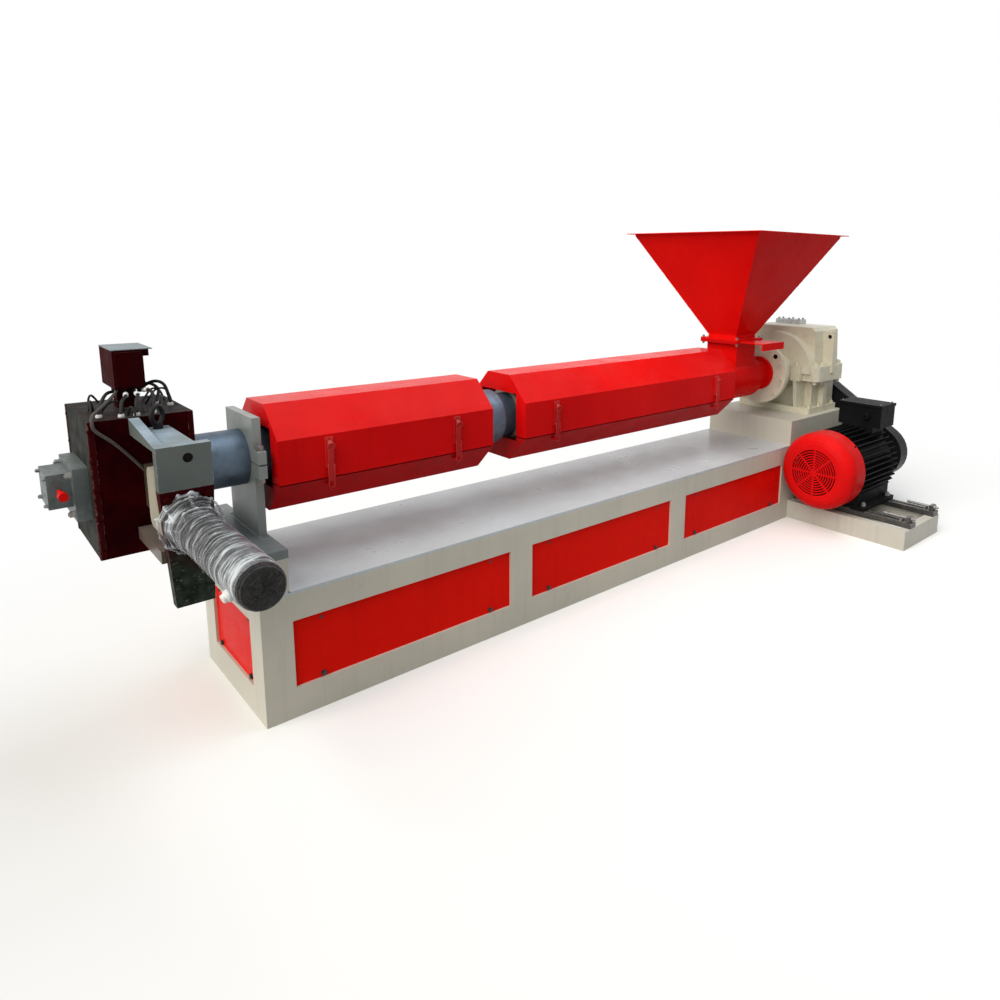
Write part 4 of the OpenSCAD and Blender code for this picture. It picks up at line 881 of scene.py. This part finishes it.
# Belt guard: a black folded sheet box over the pulleys and belts, closed by a ring of small bolts on its
# outer face.
guard_enamel = enamel("guard_enamel", (0.014, 0.014, 0.016), (0.006, 0.006, 0.007), dust_and_sky_sheen=0.08, soil=0.08,
                      rough=0.30, shine=0.07, wear_and_glint_tone=(0.06, 0.055, 0.05), top_face_tone=(0.06, 0.06, 0.06))
dress(guard_enamel, "belt_guard")
guard_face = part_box("belt_guard")[1].x
INPUT_Y = 0.150
guard_ends = [((INPUT_Y, AXIS_Z), 0.066, (-60, 10, 80, 150)),
              ((MOTOR_Y, MOTOR_Z), 0.126, (120, 190, 260, 330))]
guard_spots = []
for (y, z), reach, turns in guard_ends:
    for turn in turns:
        angle = math.radians(turn)
        guard_spots.append((guard_face, y + reach * math.cos(angle), z + reach * math.sin(angle)))
bolts("guard_bolts", guard_spots, (1, 0, 0), 0.011, guard_enamel, seed=33)


# Die end: a heated die box in a jacket of dark red sheet, with riveted edge strips, and in front of it the
# steel outlet block with the drilled strand die and its red handle.
die_enamel = enamel("die_enamel", (0.040, 0.0016, 0.0030), (0.018, 0.0010, 0.0018), dust_and_sky_sheen=0.85, soil=0.45,
                    rough=0.45, shine=0.004, wear_and_glint_tone=(0.16, 0.10, 0.08), top_face_tone=(0.050, 0.056, 0.058),
                    soil_tone=(0.010, 0.011, 0.009))
dress(die_enamel, "terminal_box")
jacket = Finish("die_jacket")
# The face toward -X takes a greenish grey in place of the maroon.
to_front = jacket.span(jacket.facing("X"), -0.4, -0.9)
blotch = jacket.span(jacket.cloud(9, 6, 0.65, twist=0.6), 0.36, 0.66)
maroon = jacket.blend(blotch, (0.018, 0.0010, 0.0018), (0.044, 0.0016, 0.0028))
front_face_tone = jacket.blend(blotch, (0.012, 0.013, 0.011), (0.040, 0.042, 0.036))
jacket_tone = jacket.blend(to_front, maroon, front_face_tone)
faces_up = jacket.span(jacket.facing("Z"), 0.45, 0.95)
top_cover = jacket.times(faces_up, jacket.span(jacket.cloud(12, 6, 0.65), 0.25, 0.6))
jacket_tone = jacket.blend(top_cover, jacket_tone, (0.040, 0.043, 0.042))
edge_mark = jacket.times(jacket.edges(0.004), jacket.span(jacket.cloud(60, 4, 0.7), 0.48, 0.66))
jacket_tone = jacket.blend(jacket.times(edge_mark, 0.5), jacket_tone, (0.14, 0.10, 0.08))
jacket.close(Base_Color=jacket_tone, Specular_IOR_Level=0.006, Roughness=jacket.uneven(20, 0.40, 0.58),
             Normal=jacket.rough_up(jacket.cloud(3.0, 2), 0.003))
dress(jacket.material, "die_box")
outlet_steel = turned_steel("outlet_steel", (0.17, 0.20, 0.20), (0.07, 0.085, 0.08), (0.025, 0.026, 0.02),
                            0.46, 0.3, (40, 40, 300))
dress(outlet_steel, "outlet_block")
dress(cowl_enamel, "die_handle")
strip_enamel = enamel("strip_enamel", (0.050, 0.004, 0.005), (0.030, 0.002, 0.003), dust_and_sky_sheen=0.2, soil=0.2,
                      rough=0.45, shine=0.01, chips_and_glint=1.0, wear_and_glint_tone=(0.30, 0.24, 0.22),
                      soil_tone=(0.012, 0.011, 0.010))
die_x, die_y, die_z = ranges("die_box")
STRIP_W = 0.016
STRIP_T = 0.0015
STRIP_SUNK = 0.001
STRIP_EDGE = 0.0006
near_skin = (die_y[0] - STRIP_T, die_y[0] + STRIP_SUNK)
far_skin = (die_y[1] - STRIP_SUNK, die_y[1] + STRIP_T)
front_skin = (die_x[0] - STRIP_T, die_x[0] + STRIP_SUNK)
left_band = (die_x[0], die_x[0] + STRIP_W)
right_band = (die_x[1] - STRIP_W, die_x[1])
near_band = (die_y[0], die_y[0] + STRIP_W)
far_band = (die_y[1] - STRIP_W, die_y[1])
for name, x, y in (("near_left", left_band, near_skin), ("near_right", right_band, near_skin),
                   ("far_left", left_band, far_skin), ("far_right", right_band, far_skin),
                   ("front_near", front_skin, near_band), ("front_far", front_skin, far_band)):
    add_plate("die_strip_" + name, x, y, die_z, strip_enamel, STRIP_EDGE)
rivet_rule = Repeat("dome_rivets", ["Rivet radius", "Rivet height"])
rivet_radius, rivet_height = rivet_rule.sizes
rivet_rule.round_bar(14, rivet_radius, rivet_rule.sum((rivet_height, 0.6)))
rivet_rule.round_bar(14, rivet_rule.sum((rivet_radius, 0.65)), rivet_height)
dome_rivets = rivet_rule.close()


def rivets(name, points, axis, height, seed):
    """Small domed rivets in the die's own paint."""
    set_on(name, dome_rivets, points, axis, die_enamel,
           {"Rivet radius": 0.0035, "Rivet height": height}, seed=seed)


RIVET_END = 0.030
RIVET_ROWS = 5
rivet_pitch = (die_z[1] - die_z[0] - 2 * RIVET_END) / (RIVET_ROWS - 1)
rivet_z = [die_z[0] + RIVET_END + k * rivet_pitch for k in range(RIVET_ROWS)]
side_x = [sum(band) / 2 for band in (left_band, right_band)]
front_y = [sum(band) / 2 for band in (near_band, far_band)]
rivets("die_near_rivets", [(x, near_skin[0], z) for x in side_x for z in rivet_z], (0, -1, 0), 0.0018, 40)
rivets("die_far_rivets", [(x, far_skin[1], z) for x in side_x for z in rivet_z], (0, 1, 0), 0.0018, 40)
rivets("die_front_rivets", [(front_skin[0], y, z) for y in front_y for z in rivet_z], (-1, 0, 0), 0.0018, 40)
outlet_x, outlet_y, outlet_z = ranges("outlet_block")
OUTLET_LEN = 0.040
outlet_rows = (outlet_z[0] + 0.022, outlet_z[1] - 0.022)
bolts("outlet_bolts", [(outlet_x[1] - OUTLET_LEN, y, z) for y in (outlet_y[0] + 0.020, outlet_y[1] - 0.020)
                       for z in outlet_rows], (-1, 0, 0), 0.019, seed=42)
STRAND_BOLT_Y = 0.070 - 0.011
STRAND_BOLT_Z = 0.052 - 0.011
bolts("strand_die_bolts", [(outlet_x[0], sy * STRAND_BOLT_Y, AXIS_Z + sz * STRAND_BOLT_Z) for sy in (-1, 1)
                           for sz in (-1, 1)], (-1, 0, 0), 0.011, seed=43)


# Screen changer: a grey bar from the die box to an end plate with a drilled hole, a black eye on it, the
# cream slide housing with the oily screen slide, and a low bar under them. The bar's pale blue top is
# painted sky reflection and its pale edges painted highlight; the drilled hole is a pad of painted shade.
# Top bar: the pale blue top-face tone is painted sky reflection, the pale edge tone painted highlight.
bar_enamel = enamel("bar_enamel", (0.14, 0.16, 0.155), (0.09, 0.11, 0.105), dust_and_sky_sheen=0.85, soil=0.30, rough=0.32,
                    shine=0.3, wear_and_glint_tone=(0.50, 0.52, 0.53), chips_and_glint=0.9, top_face_tone=(0.42, 0.54, 0.66))
dress(bar_enamel, "top_bar")
slide_enamel = enamel("slide_enamel", (0.50, 0.47, 0.38), (0.36, 0.34, 0.27), dust_and_sky_sheen=0.3, soil=0.5, shine=0.3)
dress(slide_enamel, "slide_housing")
low_enamel = enamel("low_enamel", (0.16, 0.12, 0.10), (0.09, 0.065, 0.055), dust_and_sky_sheen=0.4, soil=0.5, shine=0.15,
                    wear_and_glint_tone=(0.30, 0.27, 0.24), top_face_tone=(0.30, 0.28, 0.24))
dress(low_enamel, "low_bar")
slide_steel = turned_steel("slide_steel", (0.16, 0.12, 0.08), (0.08, 0.06, 0.04), (0.03, 0.022, 0.014),
                           0.42, 0.5, (6, 300, 6))
dress(slide_steel, "screen_slide")
eye_black = casting("eye_black", (0.020, 0.020, 0.022), (0.009, 0.009, 0.010), 0.42, 0.10, 0.2,
                    (0.06, 0.06, 0.06))
dress(eye_black, "lifting_eye")
# The end plate's drilled hole is a pad of painted shade.
holes("end_plate_hole_shade", [(-0.243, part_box("top_bar")[0].y, 1.012)], (0, -1, 0), 0.013)
plate_x, plate_y, plate_z = ranges("cylinder_plate")
scraped = Finish("scraped_plate")
ragged = scraped.plus(scraped.along("Z"), scraped.span(scraped.cloud(14, 5), 0.3, 0.7, -0.03, 0.03))
low_part = scraped.span(ragged, plate_z[0] + 0.16, plate_z[0] + 0.10)
scratch = scraped.cloud(1.0, 5, 0.7, scraped.stretch((26, 26, 60), (0.3, 0.7, 0.2)), 2.2)
scratch = scraped.span(scratch, 0.60, 0.67)
maroon = scraped.blend(scraped.span(scraped.cloud(4, 5), 0.3, 0.7), (0.018, 0.001, 0.002),
                       (0.040, 0.002, 0.003))
green = scraped.blend(scraped.span(scraped.cloud(40, 5, 0.7), 0.4, 0.7), (0.012, 0.017, 0.013),
                      (0.045, 0.055, 0.042))
scraped_tone = scraped.blend(low_part, maroon, green)
bare_marks = scraped.times(scratch, scraped.times(low_part, 0.6))
scraped.close(Base_Color=scraped.blend(bare_marks, scraped_tone, (0.42, 0.44, 0.36)),
              Roughness=scraped.uneven(30, 0.4, 0.6), Specular_IOR_Level=0.03,
              Normal=scraped.rough_up(scraped.cloud(160), 0.0005))
dress(scraped.material, "cylinder_plate")
plate_rows = [(0.018, plate_z[1] - 0.022), (0.030, plate_z[0] + 0.060)]
plate_spots = [(x, plate_y[0], z) for inset, z in plate_rows
               for x in (plate_x[0] + inset, plate_x[1] - inset)]
bolts("end_plate_bolts", plate_spots, (0, -1, 0), 0.017, scraped.material, seed=44)


# Hydraulic cylinder: a steel barrel flanged to its plate, still in the clear stretch film it was shipped in,
# wound round and round so that it lies in tight rings and creases, with a black film cap on its end and a
# white plastic plug in its oil port. The film's pale creases are partly milky film and partly painted
# highlight, and the cap's paler crinkles are painted highlight.
cylinder_steel = turned_steel("cylinder_steel", (0.075, 0.072, 0.072), (0.035, 0.033, 0.033),
                              (0.02, 0.018, 0.016), 0.42, 0.3, (4, 300, 4))
dress(cylinder_steel, "hydraulic_cylinder")
ram_x, ram_y, _ = ranges("hydraulic_cylinder")
CYLINDER_X = sum(ram_x) / 2
CYLINDER_Z = AXIS_Z - 0.040
CYLINDER_R = 0.056
FLANGE_R = 0.068
CAP_LEN = 0.046


def crease(value, sharp=3.0):
    """Ridges where a smooth field crosses zero."""
    return max(0.0, 1.0 - abs(value) * 2.2) ** sharp


def near(place, reach):
    """1 at the plate, falling to 0 at a distance from it."""
    return max(0.0, 1.0 - place / reach)


def film_mesh(name, rows=230, sides=132):
    """Wound film that bunches up over the flange and draws tight towards the end."""
    mesh = bmesh.new()
    fold_layer = mesh.verts.layers.float.new("fold")
    rings = []
    length = ram_y[1] - ram_y[0] - CAP_LEN * 0.35
    for i in range(rows + 1):
        along = length * i / rows
        flare = min(1.0, near(along, 0.060) * 2.0)
        base = CYLINDER_R + 0.0022 + (FLANGE_R - CYLINDER_R + 0.003) * flare + 0.004 * near(along, 0.16)
        base -= 0.0025 * max(0.0, (along - length + 0.03) / 0.03)
        bunch = 0.45 + 1.9 * near(along, 0.13)
        ring = []
        for k in range(sides):
            angle = 2 * math.pi * k / sides
            c, s = math.cos(angle), math.sin(angle)
            slant = along + 0.016 * s + 0.007 * math.sin(2 * angle + 1.0) + 0.002 * math.sin(7 * angle)
            hoop = crease(noise.noise(Vector((c * 0.45, s * 0.45, slant * 58.0))))
            fine = crease(noise.noise(Vector((c * 0.9 + 7, s * 0.9, slant * 150.0))), 2.0)
            long_fold = crease(noise.noise(Vector((c * 3.2, s * 3.2 + 11, along * 9.0))), 4.0)
            radius = base + bunch * (0.0026 * hoop + 0.0011 * fine)
            radius += 0.0030 * bunch * long_fold * (0.35 + near(along, 0.2))
            vert = mesh.verts.new((CYLINDER_X + radius * c, ram_y[1] - along, CYLINDER_Z + radius * s))
            vert[fold_layer] = 0.55 * hoop + 0.40 * fine + 0.6 * long_fold * max(0.15, near(along, 0.16))
            ring.append(vert)
        rings.append(ring)
    skin(mesh, rings)
    return smooth_mesh(name, mesh)


stretch_film = Finish("stretch_film")
fold = stretch_film.add("Attribute", [("attribute_name", "fold")]).outputs["Fac"]
to_end = stretch_film.span(stretch_film.along("Y"), ram_y[0] + 0.30, ram_y[0] + 0.06)
# Pale along the creases and towards the end: partly milky bunched film, partly painted highlight.
creased_pale_and_highlight = stretch_film.span(stretch_film.plus(fold, stretch_film.times(to_end, 0.26)), 0.06, 1.0)
wound = stretch_film.cloud(1.0, 4, 0.6, stretch_film.stretch((10, 90, 10)), 0.6)
layers = stretch_film.span(stretch_film.span(wound, 0.42, 0.62), 0.0, 1.0, 0.05, 0.22)
wrinkles = stretch_film.cloud(1.0, 5, 0.65, stretch_film.stretch((30, 260, 30)), 1.2)
stretch_film.close(Base_Color=stretch_film.blend(creased_pale_and_highlight, (0.05, 0.05, 0.055), (0.74, 0.79, 0.84)),
                   Alpha=stretch_film.plus(stretch_film.times(creased_pale_and_highlight, 0.72), layers),
                   Roughness=stretch_film.uneven(40, 0.10, 0.26), Specular_IOR_Level=0.3,
                   Normal=stretch_film.rough_up(wrinkles, 0.002, 0.8))
film = add_piece("cylinder_film", film_mesh("cylinder_film"), stretch_film.material)


def cap_mesh(name, sides=72):
    """Crumpled film drawn over the cylinder's end and tucked in round its edge."""
    mesh = bmesh.new()
    rings = []
    outline = [(CAP_LEN + 0.006, 0.0552), (CAP_LEN * 0.7, 0.0553), (CAP_LEN * 0.35, 0.0548), (0.006, 0.0542),
               (0.001, 0.0510), (-0.0012, 0.0460)]
    outline += [(-0.0016, 0.0460 * (1 - k / 7)) for k in range(1, 7)]
    for along, radius in outline:
        ring = []
        for k in range(sides):
            angle = 2 * math.pi * k / sides
            c, s = math.cos(angle), math.sin(angle)
            crumple = noise.noise(Vector((c * radius * 90, s * radius * 90, along * 120)))
            pleat = crease(noise.noise(Vector((c * 4.5, s * 4.5, along * 30))), 2.0)
            push = 0.0009 * crumple + 0.0012 * pleat
            on_end = along < 0
            wide = radius + (0 if on_end else push)
            depth = along - (abs(push) if on_end else 0)
            ring.append(mesh.verts.new((CYLINDER_X + wide * c, ram_y[0] + depth, CYLINDER_Z + wide * s)))
        rings.append(ring)
    rings.append([mesh.verts.new((CYLINDER_X, ram_y[0] - 0.0022, CYLINDER_Z))])
    skin(mesh, rings)
    return smooth_mesh(name, mesh)


black_film = Finish("black_film")
crumple = black_film.cloud(70, 5, 0.65, twist=1.5)
# The paler tone on the crinkles is painted highlight.
pale = black_film.span(crumple, 0.48, 0.68)
black_film.close(Base_Color=black_film.blend(pale, (0.005, 0.005, 0.005), (0.030, 0.027, 0.024)),
                 Roughness=black_film.span(crumple, 0.3, 0.7, 0.12, 0.34), Specular_IOR_Level=0.2,
                 Normal=black_film.rough_up(crumple, 0.009))
end_film = add_piece("cylinder_end_cap", cap_mesh("cylinder_end_cap"), black_film.material)
white_plastic = Finish("white_plastic")
white_plastic.close(Base_Color=white_plastic.mottle(60, (0.74, 0.74, 0.72), (0.86, 0.86, 0.85), 0.35),
                    Roughness=white_plastic.uneven(90, 0.38, 0.5),
                    Normal=white_plastic.rough_up(white_plastic.cloud(220), 0.0003))
plug = [(0, 0), (0, 0.015), (0.012, 0.015), (0.013, 0.011), (0.020, 0.011), (0.022, 0.0085), (0.022, 0.003),
        (0.019, 0.0)]
PORT_IN = 0.072
out = Vector((-0.92, -0.1, -0.38)).normalized()
port = Vector((CYLINDER_X, ram_y[0] + PORT_IN, CYLINDER_Z)) + out * (CYLINDER_R - 0.002)
add_turned("port_plug", port, out, plug, white_plastic.material, 24)


# Terminal box: a dark red sheet box on a post over the die, with a screwed lid and a grey top sheet that
# laps over its right edge.
# The top sheet's pale blue-grey top-face tone is painted sky reflection.
top_sheet = enamel("top_sheet", (0.17, 0.19, 0.21), (0.10, 0.11, 0.13), dust_and_sky_sheen=0.7, soil=0.2, rough=0.36,
                   top_face_tone=(0.30, 0.36, 0.40))
terminal_x, terminal_y, terminal_z = ranges("terminal_box")
TAB_LEN = 0.026
BOX_H = 0.118
SHEET_OVER = 0.001
LID_T = 0.003
LID_GAP = 0.004
box_top = terminal_z[1]
box_bottom = box_top - BOX_H
box_right = terminal_x[1] - TAB_LEN
add_plate("terminal_top_sheet", (terminal_x[0] - SHEET_OVER, terminal_x[1] + SHEET_OVER),
          (terminal_y[0] - SHEET_OVER, terminal_y[1] + SHEET_OVER), (box_top - 0.0005, box_top + 0.0025),
          top_sheet, 0.0008)
add_plate("terminal_lid", (terminal_x[0] + LID_GAP, box_right - LID_GAP),
          (terminal_y[0] - LID_T, terminal_y[0] + 0.001), (box_bottom + LID_GAP, box_top - 0.006),
          die_enamel, 0.001)
lid_screws = [(x, terminal_y[0] - LID_T, z) for x in (terminal_x[0] + 0.011, box_right - 0.011)
              for z in (box_bottom + 0.012, box_top - 0.014)]
rivets("terminal_lid_screws", lid_screws, (0, -1, 0), 0.0022, 50)


# Heater leads: glass-braided black wires that stand in stiff loops between the terminal box and the die
# box, where white ceramic bushes take them in, and one brown lead down the near side to the screen slide.
def braided(name, weave, dark, pale, rough):
    """Braided glass sleeving."""
    sleeve = Finish(name)
    braid = sleeve.cloud(1.0, 2, 0.5, sleeve.stretch(weave))
    return sleeve.close(Base_Color=sleeve.blend(sleeve.span(braid, 0.35, 0.65), dark, pale),
                        Roughness=sleeve.span(braid, 0.3, 0.7, *rough), Specular_IOR_Level=0.2,
                        Normal=sleeve.rough_up(braid, 0.0006))


black_sleeve = braided("lead_sleeve", (600, 600, 300), (0.006, 0.006, 0.007), (0.024, 0.023, 0.022),
                       (0.45, 0.7))
brown_sleeve = braided("brown_sleeve", (500, 500, 260), (0.045, 0.038, 0.034), (0.11, 0.095, 0.085),
                       (0.5, 0.75))


def smooth_route(points, steps=6):
    """A smooth line through points, as the part's own leads have."""
    points = [Vector(p) for p in points]
    line = []
    for i in range(len(points) - 1):
        a, b, c, d = points[max(i - 1, 0)], points[i], points[i + 1], points[min(i + 2, len(points) - 1)]
        for k in range(steps):
            t = k / steps
            line.append(0.5 * (2 * b + (c - a) * t + (2 * a - 5 * b + 4 * c - d) * t * t
                               + (3 * b - a - 3 * c + d) * t ** 3))
    return line + [points[-1]]


def lead(name, route, radius, material):
    """One free lead that leaves the object and goes back into it."""
    curve = bpy.data.curves.new(name, "CURVE")
    curve.dimensions = "3D"
    curve.bevel_depth = radius
    curve.bevel_resolution = 3
    curve.use_fill_caps = True
    line = curve.splines.new("POLY")
    line.points.add(len(route) - 1)
    for point, place in zip(line.points, route):
        point.co = (*place, 1)
    curve.materials.append(material)
    piece = bpy.data.objects.new(name, curve)
    scene.collection.objects.link(piece)
    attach(piece, "frame")
    return piece


die_top = Vector((sum(die_x) / 2, 0, die_z[1]))


def over_die(*place):
    """A place over the middle of the die box's top, given in millimetres."""
    return die_top + Vector(place) / 1000


LEAD_R = 0.005
LEAD_PLUG = 14
LEAD_FIT = 0.4
POST_H = 68
lead_bends = [
    [(-35, 0), (-64, -60, 58), (-84, -92, 42), (-100, -122)],
    [(-10, -40), (-22, -96, 50), (-40, -132, 40), (-48, -152)],
    [(12, -50), (10, -104, 52), (-2, -136, 42), (-8, -156)],
    [(28, -30), (46, -84, 62), (48, -124, 46), (40, -144)],
    [(34, 0), (72, -24, 78), (100, -36, 66), (112, -44)],
    [(34, 30), (72, 40, 64), (96, 24, 44), (82, -4)],
]
BEADED = (1, 2, 3)
leads, bushes, bead_runs = [], [], []
for k, (first, *bends, last) in enumerate(lead_bends):
    middle = [over_die(*first, POST_H - LEAD_FIT - LEAD_PLUG), *(over_die(*p) for p in bends),
              over_die(*last, LEAD_FIT + LEAD_PLUG)]
    route = [over_die(*first, POST_H - LEAD_FIT), *smooth_route(middle), over_die(*last, LEAD_FIT)]
    leads.append(lead(f"heater_lead_{k + 1}", route, LEAD_R, black_sleeve))
    bushes.append((route[-1].x, route[-1].y, die_z[1]))
    if k in BEADED:
        bead_runs.append(route[4:7])
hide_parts("heater_leads")
LOOP_R = 0.0032
loop_bends = [
    [(-96, -20), (-104, -40, 34), (-110, -66, 38), (-112, -84, 18), (-114, -90)],
    [(-24, -62), (-34, -84, 30), (-60, -98, 38), (-84, -104, 20), (-92, -106)],
    [(52, -62), (60, -70, 34), (30, -92, 40), (16, -112, 22), (18, -124)],
    [(56, 24), (84, 12, 44), (112, 2, 46), (122, -8, 18), (124, -12)],
    [(-28, -140), (-24, -150, 24), (-20, -162, 26), (-16, -170, 10), (-16, -172)],
    [(70, -60), (80, -90, 36), (70, -120, 40), (62, -150, 18), (60, -158)],
    [(-60, 60), (-86, 40, 40), (-100, 14, 36), (-104, 2, 10), (-106, 0)],
    [(60, 80), (88, 84, 36), (108, 70, 34), (116, 58, 12), (118, 54)],
]
for k, (first, *bends, last) in enumerate(loop_bends):
    route = [over_die(*first, LEAD_FIT), *(over_die(*p) for p in bends), over_die(*last, LEAD_FIT)]
    lead(f"heater_loop_{k + 1}", smooth_route(route), LOOP_R, black_sleeve)
near_face = die_y[0]
slide_bends = [over_die(*p) for p in ((-34, -46, 67.6), (-38, -58, 62), (-60, -92, 48), (-98, -132, 26))]
slide_bends += [
    (-0.408, -0.174, die_z[1] + 0.016), (-0.413, near_face - 0.0085, die_z[1] - 0.006),
    (-0.405, near_face - 0.008, 1.056), (-0.366, near_face - 0.008, 1.018),
    (-0.331, near_face - 0.008, 0.976), (-0.300, near_face - 0.009, 0.934),
    (-0.276, near_face - 0.010, 0.901)]
lead("slide_heater_lead", smooth_route(slide_bends), LEAD_R, brown_sleeve)
add_piece("lead_beads", tube_mesh("lead_beads", bead_runs, 0.0075), white_plastic.material)
bush_rule = Repeat("ceramic_bushes", ["Bush radius", "Bush height"])
bush_radius, bush_height = bush_rule.sizes
bush_rule.round_bar(16, bush_radius, bush_height)
bush_rule.round_bar(16, bush_rule.sum((bush_radius, 0.8)), bush_rule.sum((bush_height, 1.5)))
set_on("lead_bushes", bush_rule.close(), bushes, (0, 0, 1), white_plastic.material,
       {"Bush radius": 0.009, "Bush height": 0.006}, seed=51)
